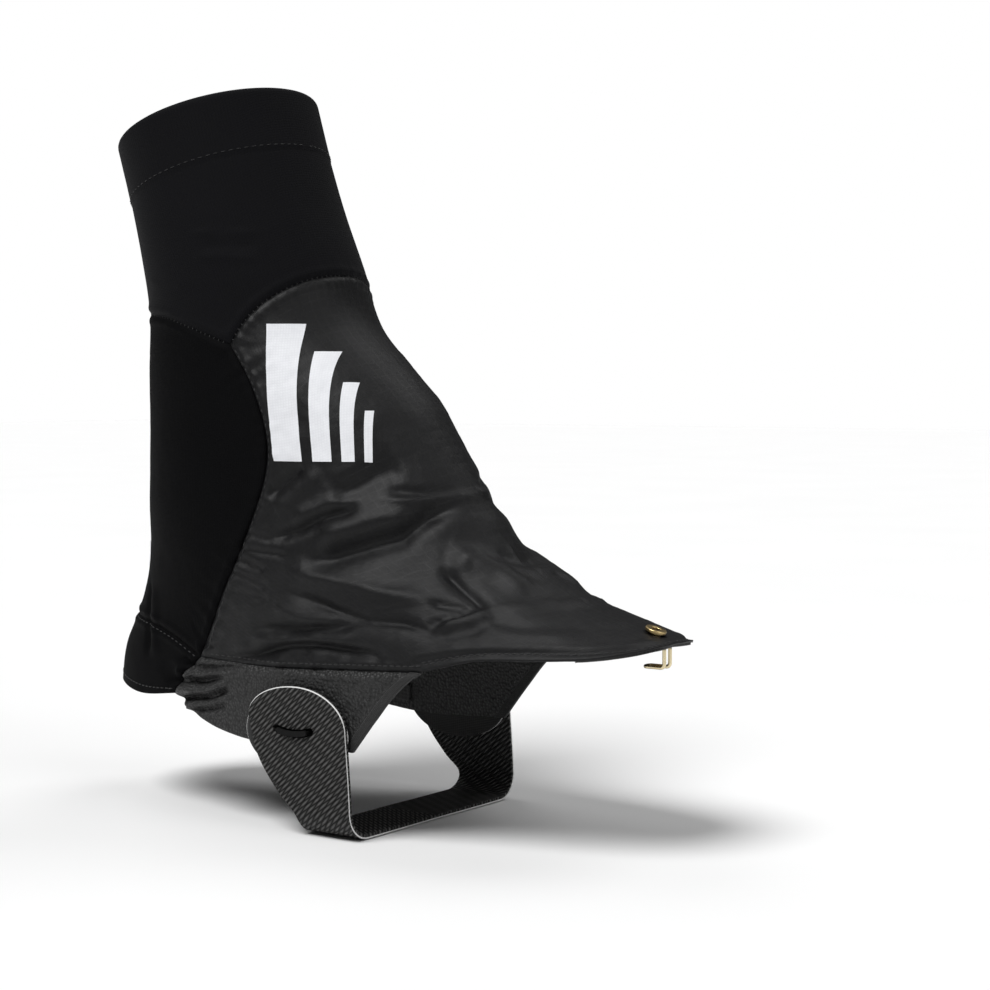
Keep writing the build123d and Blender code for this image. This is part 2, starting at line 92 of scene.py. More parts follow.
def buildStudio():
    scene = bpy.context.scene
    data = bpy.data.cameras.new("camera")
    data.lens = studio["lens"]
    camera = bpy.data.objects.new("camera", data)
    camera.location, camera.rotation_euler = aroundTarget(
        studio["azimuth"], studio["elevation"], studio["distance"] * mm
    )
    scene.collection.objects.link(camera)
    scene.camera = camera
    for name, (azimuth, elevation, wide, strength) in studio["lights"].items():
        lamp = bpy.data.lights.new(name, "SUN")
        lamp.angle = math.radians(wide)
        lamp.energy = strength
        light = bpy.data.objects.new(name, lamp)
        light.location, light.rotation_euler = aroundTarget(azimuth, elevation, 1.5)
        scene.collection.objects.link(light)
    world = bpy.data.worlds.new("softWhite")
    scene.world = world
    world.use_nodes = True
    lightPath = world.node_tree.nodes.new("ShaderNodeLightPath")
    glow = world.node_tree.nodes.new("ShaderNodeMath")
    glow.operation = "MULTIPLY_ADD"
    glow.inputs[1].default_value = studio["worldSeen"] - studio["worldGlow"]
    glow.inputs[2].default_value = studio["worldGlow"]
    background = world.node_tree.nodes["Background"]
    background.inputs["Color"].default_value = (1, 1, 1, 1)
    world.node_tree.links.new(lightPath.outputs["Is Camera Ray"], glow.inputs[0])
    world.node_tree.links.new(glow.outputs[0], background.inputs["Strength"])
    scene.view_settings.view_transform = "Standard"
    form = bmesh.new()
    bmesh.ops.create_grid(form, x_segments=1, y_segments=1, size=studio["floorSize"] / 2)
    bmesh.ops.translate(form, verts=form.verts, vec=(0, 0, studio["floorHeight"]))
    mesh = bpy.data.meshes.new("floor")
    form.to_mesh(mesh)
    form.free()
    floor = bpy.data.objects.new("floor", mesh)
    scene.collection.objects.link(floor)
    return floor


floor = buildStudio()
print("studio ready")


# ---- materials ----
class Thread:
    # a socket on its way through a material; an expression on it adds the Math nodes
    def __init__(self, tree, socket):
        self.tree = tree
        self.socket = socket

    def calc(self, operation, *terms):
        node = self.tree.nodes.new("ShaderNodeMath")
        node.operation = operation
        for place, term in zip(node.inputs, terms):
            if isinstance(term, Thread):
                self.tree.links.new(term.socket, place)
            else:
                place.default_value = term
        return Thread(self.tree, node.outputs[0])

    def __add__(self, other):
        return self.calc("ADD", self, other)

    def __sub__(self, other):
        return self.calc("SUBTRACT", self, other)

    def __rsub__(self, other):
        return self.calc("SUBTRACT", other, self)

    def __mul__(self, other):
        return self.calc("MULTIPLY", self, other)

    def __truediv__(self, other):
        return self.calc("DIVIDE", self, other)

    def __pow__(self, other):
        return self.calc("POWER", self, other)

    def __abs__(self):
        return self.calc("ABSOLUTE", self)

    __radd__ = __add__
    __rmul__ = __mul__

    def sine(self):
        return self.calc("SINE", self)

    def above(self, level):
        return self.calc("GREATER_THAN", self, level)

    def atLeast(self, level):
        return self.calc("MAXIMUM", self, level)

    def atMost(self, level):
        return self.calc("MINIMUM", self, level)


class Finish:
    # one material being put together, from the shader's fixed values and what varies over the surface
    def __init__(self, name, **fixed):
        self.material = bpy.data.materials.new(name)
        self.material.use_nodes = True
        self.tree = self.material.node_tree
        self.shader = self.tree.nodes["Principled BSDF"]
        for socket, value in fixed.items():
            self.shader.inputs[socket.replace("_", " ")].default_value = value

    def node(self, kind, settings=None, inputs=None, output=0):
        made = self.tree.nodes.new("ShaderNode" + kind)
        for key, value in (settings or {}).items():
            if key == "stops":
                for stop, (position, colour) in zip(made.color_ramp.elements, value):
                    stop.position = position
                    stop.color = (*colour, 1)
            else:
                setattr(made, key, value)
        for key, value in (inputs or {}).items():
            if isinstance(value, Thread):
                self.tree.links.new(value.socket, made.inputs[key])
            else:
                made.inputs[key].default_value = value
        return Thread(self.tree, made.outputs[output])

    def place(self, output="Object"):
        return self.node("TexCoord", output=output)

    def clothMap(self):
        return self.node("UVMap", {"uv_map": "cloth"})

    def axis(self, vector, name):
        return self.node("SeparateXYZ", inputs={0: vector}, output=name)

    def noise(self, vector, scale, detail=3, roughness=0.5):
        inputs = {"Vector": vector, "Scale": scale, "Detail": detail, "Roughness": roughness}
        return self.node("TexNoise", inputs=inputs)

    def stretch(self, vector, scale, turn=0):
        turned = (0, 0, math.radians(turn))
        return self.node("Mapping", inputs={"Vector": vector, "Scale": scale, "Rotation": turned})

    def blend(self, factor, dark, light):
        inputs = {"Factor": factor, "A": (*dark, 1), "B": (*light, 1)}
        made = self.tree.nodes.new("ShaderNodeMix")
        made.data_type = "RGBA"
        self.tree.links.new(inputs["Factor"].socket, made.inputs[0])
        made.inputs[6].default_value = inputs["A"]
        made.inputs[7].default_value = inputs["B"]
        return Thread(self.tree, made.outputs[2])

    def bump(self, height, distance, strength=1.0, under=None):
        inputs = {"Height": height, "Distance": distance, "Strength": strength}
        if under is not None:
            inputs["Normal"] = under
        return self.node("Bump", inputs=inputs)

    def wear(self, **links):
        for socket, value in links.items():
            self.tree.links.new(value.socket, self.shader.inputs[socket.replace("_", " ")])
        return self.material


def threadLines(across, pitch):
    # 0 between threads, 1 on a thread, for threads that repeat every pitch metres
    return abs((across * (math.pi / pitch)).sine())


def stretchKnit(name, colour, sheen, ribPitch):
    finish = Finish(name, Sheen_Weight=sheen, Sheen_Roughness=0.45, Specular_IOR_Level=0.04)
    cloth = finish.clothMap()
    ribs = threadLines(finish.axis(cloth, "X"), ribPitch)
    courses = threadLines(finish.axis(cloth, "Y"), ribPitch * 0.8)
    fuzz = finish.noise(finish.place(), 900, 4, 0.7)
    patches = finish.noise(finish.place(), 28, 3, 0.55)
    height = ribs * 0.6 + courses * 0.4 + fuzz * 0.8
    light = tuple(c * 1.5 for c in colour)
    dark = tuple(c * 0.72 for c in colour)
    shade = finish.blend(patches * 0.6 + fuzz * 0.25 + ribs * 0.15, dark, light)
    return finish.wear(
        Base_Color=shade,
        Roughness=patches * 0.12 + 0.66,
        Normal=finish.bump(height, 0.00012, 0.55),
    )


def ripstopNylon():
    weave = {"thread": 0.00042, "rip": 0.0031, "ripShare": 0.955}
    finish = Finish("ripstopNylon", Specular_IOR_Level=0.24)
    cloth = finish.clothMap()
    across, down = finish.axis(cloth, "X"), finish.axis(cloth, "Y")
    fine = threadLines(across, weave["thread"]) * threadLines(down, weave["thread"])
    ripAcross = threadLines(across, weave["rip"]).above(weave["ripShare"])
    ripDown = threadLines(down, weave["rip"]).above(weave["ripShare"])
    rips = ripAcross.atLeast(ripDown)
    crumple = finish.noise(finish.place(), 95, 5, 0.6)
    broad = finish.noise(finish.place(), 22, 3, 0.5)
    crinkle = finish.node(
        "TexVoronoi",
        {"feature": "DISTANCE_TO_EDGE"},
        {"Vector": finish.stretch(finish.place(), (95, 95, 230)), "Scale": 1.0, "Randomness": 1.0},
    ).atMost(0.25)
    grain = finish.noise(finish.place(), 2600, 2, 0.6)
    small = finish.bump(fine * 0.5 + rips * 0.9 + grain * 0.8, 0.0001, 0.6)
    middle = finish.bump(crinkle * 0.5 + crumple, 0.0006, 0.3, small)
    shade = finish.blend(broad * 0.5 + crumple * 0.3 + rips * 0.25, (0.0022, 0.0022, 0.0026), (0.0062, 0.0062, 0.0067))
    return finish.wear(
        Base_Color=shade,
        Roughness=crumple * 0.14 + broad * 0.1 + 0.36 - rips * 0.05,
        Normal=middle,
    )


def grainedPanel():
    finish = Finish("grainedPanel", Specular_IOR_Level=0.35)
    grain = finish.node(
        "TexVoronoi",
        {"feature": "F1"},
        {"Vector": finish.place(), "Scale": 950, "Randomness": 0.85},
    )
    coarse = finish.noise(finish.place(), 420, 3, 0.6)
    height = 1 - grain * 1.1 + coarse * 0.5
    # the colour follows the grain's height: darker in the hollows between the pebbles, painted shade, and lighter on
    # their tops, painted light
    shade = finish.blend(height, (0.0015, 0.0015, 0.0015), (0.028, 0.028, 0.028))
    return finish.wear(
        Base_Color=shade,
        Roughness=0.62 - height * 0.14,
        Normal=finish.bump(height, 0.0005, 0.9),
    )


def coatedWebbing():
    weave = {"pitch": 0.0015}
    finish = Finish("coatedWebbing", Specular_IOR_Level=0.16)
    cloth = finish.clothMap()
    fall = finish.stretch(cloth, (1, 1, 1), 38)
    climb = finish.stretch(cloth, (1, 1, 1), -32)
    over = threadLines(finish.axis(fall, "X"), weave["pitch"])
    under = threadLines(finish.axis(climb, "Y"), weave["pitch"] * 0.9)
    height = over ** 0.8 * under ** 0.9
    dust = finish.noise(finish.place(), 600, 4, 0.65)
    # the colour follows the weave's height: near black in the pits between the ridges, painted shade, and pale grey on
    # the ridges, painted light; the dust noise only varies the tone at random
    shade = finish.blend((height * 0.8 + dust * 0.3) ** 2.0, (0.0005, 0.0005, 0.0005), (0.125, 0.124, 0.121))
    return finish.wear(
        Base_Color=shade,
        Roughness=0.6 - height * 0.18,
        Normal=finish.bump(height, 0.0006, 1.0),
    )


def paleCore():
    finish = Finish("paleCore", Specular_IOR_Level=0.3)
    fuzz = finish.noise(finish.place(), 1400, 4, 0.7)
    shade = finish.blend(fuzz, (0.55, 0.55, 0.55), (0.98, 0.98, 0.97))
    return finish.wear(Base_Color=shade, Roughness=0.8 - fuzz * 0.1, Normal=finish.bump(fuzz, 0.0002, 0.5))


def wovenTape(name, colour, pitch):
    finish = Finish(name, Specular_IOR_Level=0.3, Sheen_Weight=0.1)
    cloth = finish.clothMap()
    across, along = finish.axis(cloth, "X"), finish.axis(cloth, "Y")
    ribs = threadLines(along, pitch) * 0.8 + threadLines(across, pitch * 1.4) * 0.4
    fuzz = finish.noise(finish.place(), 1100, 3, 0.6)
    light = tuple(c * 1.9 for c in colour)
    shade = finish.blend(ribs * 0.6 + fuzz * 0.4, tuple(c * 0.5 for c in colour), light)
    return finish.wear(
        Base_Color=shade,
        Roughness=fuzz * 0.15 + 0.62,
        Normal=finish.bump(ribs + fuzz * 0.4, 0.00018, 0.7),
    )


def sewingThread(name, colour):
    finish = Finish(name, Specular_IOR_Level=0.35, Sheen_Weight=0.15)
    twist = finish.noise(finish.stretch(finish.place(), (1800, 1800, 3200)), 1.0, 2)
    shade = finish.blend(twist, tuple(c * 0.6 for c in colour), tuple(c * 1.5 for c in colour))
    return finish.wear(Base_Color=shade, Roughness=twist * 0.2 + 0.5, Normal=finish.bump(twist, 0.0001, 0.6))


def metal(name, dark, light, roughness):
    finish = Finish(name, Metallic=1.0)
    tarnish = finish.noise(finish.place(), 240, 4, 0.6)
    scratches = finish.noise(finish.stretch(finish.place(), (4000, 500, 500)), 1.0, 2)
    return finish.wear(
        Base_Color=finish.blend(tarnish, dark, light),
        Roughness=tarnish * 0.2 + roughness,
        Normal=finish.bump(scratches, 0.00003, 0.3),
    )


def mouldedPlastic():
    finish = Finish("mouldedPlastic", Specular_IOR_Level=0.12)
    grain = finish.noise(finish.place(), 1600, 3, 0.6)
    shade = finish.blend(grain, (0.003, 0.003, 0.003), (0.008, 0.008, 0.008))
    return finish.wear(Base_Color=shade, Roughness=grain * 0.2 + 0.5, Normal=finish.bump(grain, 0.00005, 0.5))


def whitePrint():
    finish = Finish("whitePrint", Specular_IOR_Level=0.4)
    cloth = finish.clothMap()
    weave = threadLines(finish.axis(cloth, "X"), 0.0009) * threadLines(finish.axis(cloth, "Y"), 0.0009)
    wear = finish.noise(finish.place(), 260, 5, 0.65)
    shade = finish.blend(wear * 0.8 + weave * 0.2, (0.66, 0.67, 0.70), (0.86, 0.87, 0.90))
    return finish.wear(Base_Color=shade, Roughness=wear * 0.2 + 0.45, Normal=finish.bump(weave + wear, 0.00005, 0.4))


def loopPile():
    finish = Finish("loopPile", Sheen_Weight=0.3, Specular_IOR_Level=0.2)
    loops = finish.node("TexVoronoi", {"feature": "F1"}, {"Vector": finish.place(), "Scale": 1300.0})
    shade = finish.blend(loops, (0.026, 0.026, 0.027), (0.008, 0.008, 0.009))
    return finish.wear(Base_Color=shade, Roughness=loops * 0.1 + 0.8, Normal=finish.bump(1 - loops, 0.0004, 0.9))


def palePaint():
    finish = Finish("palePaint", Specular_IOR_Level=0.2)
    grain = finish.noise(finish.place(), 6, 2)
    return finish.wear(
        Base_Color=finish.blend(grain, (0.90, 0.90, 0.90), (0.93, 0.93, 0.93)),
        Roughness=grain * 0.05 + 0.7,
    )


finishes = {
    "knit": stretchKnit("cuffKnit", (0.0050, 0.0050, 0.0058), 0.02, 0.0011),
    "stretch": stretchKnit("rearStretch", (0.0022, 0.0022, 0.0025), 0.003, 0.0008),
    "ripstop": ripstopNylon(),
    "grained": grainedPanel(),
    "webbing": coatedWebbing(),
    "core": paleCore(),
    "binding": wovenTape("edgeBinding", (0.013, 0.013, 0.013), 0.0007),
    "elastic": wovenTape("elasticBand", (0.018, 0.018, 0.018), 0.0012),
    "backing": wovenTape("stiffBacking", (0.012, 0.012, 0.012), 0.0006),
    "blackThread": sewingThread("blackThread", (0.008, 0.008, 0.0085)),
    "brass": metal("rivetBrass", (0.42, 0.30, 0.12), (0.86, 0.68, 0.36), 0.2),
    "wire": metal("hookWire", (0.55, 0.45, 0.26), (0.90, 0.80, 0.56), 0.18),
    "plastic": mouldedPlastic(),
    "print": whitePrint(),
    "pile": loopPile(),
}
floor.data.materials.append(palePaint())
print("materials ready")

# ---- the worn form: level sections round the foot, tilted ones round the leg ----
wornForm = {
    "footHalfWidth": 41.6,
    "tipReach": 100.0,
    "ankle": (-65.3, 171.0),
    "ankleTilt": 15.0,
    "lean": 17.0,
    "rimDistance": 60.5,
    "hemHeight": 22.0,
    "sleeveRadius": 34.9,
    "edgeHeight": 25.8,
}


def legCentre(distance):
    lean = math.radians(wornForm["lean"])
    x, z = wornForm["ankle"]
    return x - distance * math.sin(lean), z + distance * math.cos(lean)


def formRows():
    half, tip = wornForm["footHalfWidth"], wornForm["tipReach"]
    # height, heel, front, centre, half width, roundness in front and behind
    level = [
        (20, -119, tip + 34, 2, half, 2.4, 2.5),
        (36, -120.5, tip + 27, 2, half - 0.2, 2.4, 2.4),
        (48, -119, tip + 17, 2, half - 0.4, 2.35, 2.35),
        (60, -113, tip + 5.5, -10, half - 0.6, 2.25, 2.25),
        (72, -107.8, tip - 31, -30, half - 0.8, 2.1, 2.1),
        (84, -105.2, 45.5, -43, half - 1.2, 2, 2),
        (98, -104.2, 33, -52, half - 2.0, 2, 2),
        (114, -103.5, 21, -56, half - 3.0, 2, 2),
        (131, -103.5, 9.4, -58, half - 4.0, 2, 2),
    ]
    rows = [(z, x, 0, x - heel, front - x, w, p, q) for z, heel, front, x, w, p, q in level]
    ankleX, ankleZ = wornForm["ankle"]
    rows.append((152, -61.2, 9, 42.6, 42.6, half - 4.8, 2, 2))
    rows.append((ankleZ, ankleX, wornForm["ankleTilt"], 38.2, 38.2, 35.9, 2, 2))
    sleeve, rim = wornForm["sleeveRadius"], wornForm["rimDistance"]
    for distance, depth, halfWidth in ((20, 35.8, 35.3), (rim - wornForm["hemHeight"], sleeve, sleeve), (rim, sleeve, sleeve)):
        x, z = legCentre(distance)
        rows.append((z, x, wornForm["lean"], depth, depth, halfWidth, 2, 2))
    return np.array(rows, float)


formTable = formRows()
formHeights = formTable[:, 0]
formSlopes = np.gradient(formTable, formHeights, axis=0)
rimHeight = formHeights[-1]


def sectionAt(height):
    # the section's values at each height, on a smooth cubic through the rows
    low = np.clip(np.searchsorted(formHeights, height) - 1, 0, len(formHeights) - 2)
    step = formHeights[low + 1] - formHeights[low]
    t = ((height - formHeights[low]) / step)[:, None]
    step = step[:, None]
    return (
        (2 * t**3 - 3 * t**2 + 1) * formTable[low]
        + (t**3 - 2 * t**2 + t) * step * formSlopes[low]
        + (3 * t**2 - 2 * t**3) * formTable[low + 1]
        + (t**3 - t**2) * step * formSlopes[low + 1]
    )


def formPoint(angle, height):
    # angle 0 is the front, a quarter turn is the right side, half a turn is the heel
    _, x, tilt, back, front, half, frontPower, backPower = sectionAt(height).T
    cosine, sine = np.cos(angle), np.sin(angle)
    power = np.where(cosine > 0, frontPower, backPower)
    depth = np.where(cosine > 0, front, back)
    along = np.sign(cosine) * depth * np.abs(cosine) ** (2 / power)
    across = np.sign(sine) * half * np.abs(sine) ** (2 / power)
    tilt = np.radians(tilt)
    return np.stack([x + along * np.cos(tilt), -across, height + along * np.sin(tilt)], -1)


def formNormal(angle, height):
    turn, rise = 0.02, 0.4
    round_ = formPoint(angle + turn, height) - formPoint(angle - turn, height)
    up = formPoint(angle, height + rise) - formPoint(angle, height - rise)
    normal = np.cross(up, round_)
    return normal / np.linalg.norm(normal, axis=1)[:, None]


def smoothLine(corners, count=160):
    corners = np.array(corners, float)
    gaps = np.linalg.norm(np.diff(corners, axis=0), axis=1)
    knots = np.concatenate([[0], np.cumsum(gaps)])
    slopes = np.gradient(corners, knots, axis=0)
    at = np.linspace(0, knots[-1], count)
    low = np.clip(np.searchsorted(knots, at) - 1, 0, len(knots) - 2)
    step = (knots[low + 1] - knots[low])[:, None]
    t = (at[:, None] - knots[low][:, None]) / step
    return (
        (2 * t**3 - 3 * t**2 + 1) * corners[low]
        + (t**3 - 2 * t**2 + t) * step * slopes[low]
        + (3 * t**2 - 2 * t**3) * corners[low + 1]
        + (t**3 - t**2) * step * slopes[low + 1]
    )


def onForm(outline):
    # side-view points (x, z) found on the right side of the form, as (angle, height)
    x, z = np.array(outline, float).T
    height = z.copy()
    for _ in range(60):
        _, centre, tilt, back, front, _, frontPower, backPower = sectionAt(height).T
        tilt = np.radians(tilt)
        along = (x - centre) / np.cos(tilt)
        depth = np.where(along > 0, front, back)
        power = np.where(along > 0, frontPower, backPower)
        share = np.clip(along / depth, -1, 1)
        inside = np.clip(along, -back, front)
        height = 0.5 * height + 0.5 * (z - inside * np.sin(tilt))
    angle = np.arccos(np.sign(share) * np.abs(share) ** (power / 2))
    return np.stack([angle, height], -1)


def evenLine(line, count=200):
    # the same line with its points evenly spaced on the form
    points = formPoint(line[:, 0], line[:, 1])
    gaps = np.linalg.norm(np.diff(points, axis=0), axis=1)
    travel = np.concatenate([[0], np.cumsum(gaps)])
    at = np.linspace(0, travel[-1], count)
    return np.stack([np.interp(at, travel, line[:, k]) for k in (0, 1)], -1)


# Seams, seen from the right side as (x, z); a line that crosses the middle line is cut there and ends on it
knitCorner = (-46.6, 152.4)
heelCorner = (-58.4, 50.0)
heelLowCorner = (-71.9, 36.7)
hemCorner = (34.0, 52.4)
lowCorner = (9.1, wornForm["edgeHeight"])
seamCorners = {
    "rearCuff": [(-112, 165), (-90, 163), (-74, 161.3), (-61, 157.5), knitCorner],
    "frontCuff": [knitCorner, (-42.5, 160.5), (-34, 170), (-27.5, 175), (-12, 179)],
    "side": [knitCorner, (-37, 138), (-30, 118), (-36.8, 89.4), (-49.7, 65.3), heelCorner],
    "heel": [(-118, 61), (-104, 60), (-84.3, 58.2), (-71.2, 55.2), heelCorner],
    "heelFront": [heelCorner, (-67, 43.5), heelLowCorner],
    "heelBottom": [heelLowCorner, (-90.5, 34.6), (-125, 38)],
    "low": [heelCorner, (-29, 49.5), (9, 51.2), hemCorner],
    "lowEdge": [heelLowCorner, (-54, lowCorner[1] + 3.4), (-30, lowCorner[1] - 0.6), lowCorner],
    "frontEdge": [hemCorner, (26.5, 46.5), (18.4, 37.3), lowCorner],
    "frontHem": [hemCorner, (52, 56.9), (73, 58), (94, 60.2), (104, 63.6)],
    "hemStitch": [(33, 55.2), (52, 59.0), (68, 60.1), (88, 60.8), (98, 62.3), (102, 63.6)],
}


def seamLine(name):
    line = onForm(smoothLine(seamCorners[name]))
    inside = (line[:, 0] > 1e-3) & (line[:, 0] < math.pi - 1e-3)
    first, last = np.argmax(inside), len(inside) - np.argmax(inside[::-1])
    kept = line[first:last]
    if last < len(line):
        kept = np.vstack([kept, [0 if kept[-1, 0] < 1.5 else math.pi, line[last, 1]]])
    if first > 0:
        kept = np.vstack([[0 if kept[0, 0] < 1.5 else math.pi, line[first - 1, 1]], kept])
    return evenLine(kept)


seams = {name: seamLine(name) for name in seamCorners}


def mirrored(line, round_=0.0):
    return np.stack([round_ - line[:, 0], line[:, 1]], -1)


def joined(*lines):
    whole = [lines[0]] + [line[1:] for line in lines[1:]]
    return evenLine(np.vstack(whole), 400)


# ---- how the cloth lies: creases, gathers, seam valleys and crumples ----
# rise in mm (a valley is below 0), half width in mm, sharpness, points (x, y, z) on the right side
creases = [
    (-1.7, 2.0, 1.5, [(-29, -38, 103), (-24, -36, 108), (-17, -33, 114)]),
    (0.8, 3.0, 2, [(-27, -38, 98), (-18, -36, 105), (-10, -31, 112)]),
    (-1.5, 4.2, 2, [(11, -18, 115), (3, -27, 109), (-6, -32, 103)]),
    (1.2, 3.0, 2, [(4, -29, 104), (-8, -34, 101), (-20, -37, 96)]),
    (-2.0, 2.0, 1.5, [(4, -29, 101), (-8, -34, 97.5), (-16, -37, 94), (-28, -39, 90)]),
    (1.1, 1.5, 1.4, [(6, -27, 103), (19, -19, 103), (26, -8, 104), (25, 13, 102)]),
    (-0.7, 1.8, 2, [(8, -25, 106), (19, -17, 106), (25, -7, 107)]),
    (2.0, 5.0, 2, [(22, -21, 100), (8, -31, 96), (-10, -37, 90)]),
    (-3.0, 3.6, 1.7, [(28, -8, 102), (22, -19, 98), (17, -26, 92.5), (6, -32, 88), (-14, -38, 83)]),
    (1.8, 3.0, 1.6, [(-20, -40, 80), (-6, -38, 79), (12, -36, 76), (35, -31, 72.5)]),
    (-1.9, 1.9, 1.5, [(-20, -40, 75), (-1, -40, 69.7), (13, -39, 66.7), (26, -37, 67), (38, -36, 65)]),
    (1.0, 2.4, 2, [(-24, -41, 69), (-8, -41, 66), (4, -40, 66)]),
    (-1.7, 1.8, 1.5, [(-34, -40, 61), (-11, -41, 62.4), (13, -40, 66)]),
    (1.2, 2.2, 1.6, [(-34, -40, 57), (-12, -41, 59.6), (12, -40, 61)]),
    (-2.0, 1.6, 1.4, [(-56, -38, 50), (-31, -40, 52.7), (-17, -41, 57), (0, -41, 57.5), (15, -41, 57), (26, -40, 55)]),
    (-1.4, 1.3, 1.4, [(33, -36, 66.6), (40, -33, 69), (46, -29, 71)]),
    (-1.2, 1.4, 1.5, [(31, -32, 72.6), (39, -30, 72), (47, -28, 71)]),
    (1.3, 2.0, 2, [(37, -35, 66.5), (46, -31, 68.5), (52, -26, 70.5)]),
    (-0.9, 2.4, 1.8, [(30, -37, 65), (39, -36.6, 64), (48, -34, 65), (54, -30, 67)]),
    (-1.7, 2.2, 1.6, [(30, -24, 83), (36, -24, 79), (42, -25, 75.6), (50, -26, 71)]),
    (2.2, 4.4, 2, [(31, -22, 85), (37, -16, 85), (45, -13, 81), (58, -12, 75)]),
    (0.7, 1.6, 1.6, [(42, -13, 83), (50, -3, 80.5), (48, 10, 80), (57, 15, 74)]),
    (-0.7, 2.8, 2, [(40, -9, 87), (46, -1, 84.5), (44, 10, 85)]),
    (0.8, 1.8, 1.6, [(50, -26, 71.5), (60, -18, 72), (66, -8, 72.5), (67, 4, 72.4)]),
    (-0.9, 1.2, 1.5, [(-41, -40, 87.6), (-30, -40, 86), (-19, -39, 85)]),
    (-1.0, 1.2, 1.5, [(-42, -41, 83.4), (-34, -41, 81.6), (-27, -40, 80)]),
    (-1.1, 1.2, 1.5, [(-44, -41, 79.6), (-34, -41, 77), (-25, -41, 74.6)]),
    (-0.8, 1.1, 1.5, [(-37, -40, 92.4), (-30, -40, 91), (-25, -39, 90)]),
    (-0.9, 1.3, 1.5, [(-46, -41, 73), (-36, -41, 71.5), (-25, -41, 71)]),
    (0.7, 2.4, 2, [(40, -33, 62), (60, -30, 62.5), (80, -22, 62.8)]),
    (-0.7, 2.6, 2, [(48, -30, 70), (62, -26, 66.5), (80, -14, 66)]),
    (-2.3, 1.3, 1.5, [(-76, -34, 41), (-66, -37, 41.3), (-56, -38, 42.5), (-44, -40, 45)]),
    (-2.5, 1.3, 1.5, [(-74, -36, 36), (-64, -37, 36), (-53, -39, 37.6), (-42, -39, 41)]),
    (-1.9, 1.2, 1.5, [(-68, -36, 46.5), (-58, -38, 46.3), (-50, -39, 47), (-38, -40, 49)]),
    (-1.6, 1.1, 1.5, [(-62, -38, 32), (-54, -38, 33.5), (-44, -39, 36)]),
    (1.7, 1.6, 2, [(-75, -35, 38.5), (-62, -37, 38.7), (-52, -39, 40), (-42, -40, 43)]),
    (1.6, 1.6, 2, [(-72, -36, 43.8), (-60, -37, 43.8), (-50, -39, 45), (-40, -40, 47)]),
    (1.2, 1.4, 2, [(-68, -37, 33.6), (-56, -38, 35), (-44, -39, 38.4)]),
    (-0.9, 2.2, 2, [(-93, -27, 74), (-91, -29, 60), (-88, -31, 46)]),
    (0.6, 3.0, 2, [(-88, -30, 72), (-86, -31, 60), (-83, -33, 46)]),
    (0.35, 1.2, 2, [(-66, -35, 189), (-52, -32, 189.5), (-41, -24, 189)]),
    (0.35, 1.2, 2, [(-62, -35, 181), (-50, -32, 181), (-40, -26, 180)]),
    (-0.35, 1.4, 2, [(-60, -35, 185), (-48, -31, 185), (-42, -26, 184.6)]),
    (0.4, 1.3, 2, [(-88, -30, 173.5), (-68, -35, 172), (-46, -31, 172)]),
]
seamHabits = {
    # valley depth, pucker height, pucker length and reach from the seam, all in mm
    "rearCuff": (0.55, 0.10, 3.0, 3.0),
    "frontCuff": (0.60, 0.45, 2.2, 3.0),
    "side": (0.60, 0.75, 3.4, 5.0),
    "heel": (0.55, 0.15, 4.0, 3.0),
    "heelFront": (0.70, 1.00, 4.2, 6.0),
    "low": (0.75, 0.55, 5.0, 5.0),
    "hemStitch": (0.50, 0.20, 6.0, 3.0),
}
clothHabits = {
    "crumpleHeight": 0.3,
    "crumpleSize": 13.0,
    "wobble": 3.0,
    "rivet": (93.0, 0.0, 65.3),
    "rivetCalm": (4.5, 12.0),
    "strapCalm": (-12.0, 25.0, 52.0),
    "strapLift": 0.25,
}


def wobbleAt(points, size, seed):
    return np.array([noise.noise_vector(Vector(p) / size + Vector((seed, 0, 0))) for p in points])


def lineDistance(points, corners):
    # distance to a line of corners, and how far along it the nearest place is, from 0 to 1
    corners = np.array(corners, float)
    lengths = np.linalg.norm(np.diff(corners, axis=0), axis=1)
    starts = np.concatenate([[0], np.cumsum(lengths)])
    best = np.full(len(points), 1e9)
    along = np.zeros(len(points))
    for a, b, length, start in zip(corners[:-1], corners[1:], lengths, starts):
        t = np.clip((points - a) @ (b - a) / length**2, 0, 1)
        distance = np.linalg.norm(points - (a + t[:, None] * (b - a)), axis=1)
        closer = distance < best
        best = np.where(closer, distance, best)
        along = np.where(closer, (start + t * length) / starts[-1], along)
    return best, along


def seamMap():
    tree = kdtree.KDTree(4 * 200 * len(seamHabits))
    facts = []
    for number, (name, habit) in enumerate(seamHabits.items()):
        for side, line in ((0, seams[name]), (1, mirrored(seams[name]))):
            points = formPoint(line[:, 0], line[:, 1])
            for k, point in enumerate(points):
                tree.insert(Vector(point), len(facts))
                travel = k * np.linalg.norm(points[1] - points[0])
                facts.append((travel, 17.0 * number + 101.0 * side, habit))
    tree.balance()
    return tree, facts


seamTree, seamFacts = seamMap()


def smoothStep(values, low, high):
    t = np.clip((values - low) / (high - low), 0, 1)
    return t * t * (3 - 2 * t)


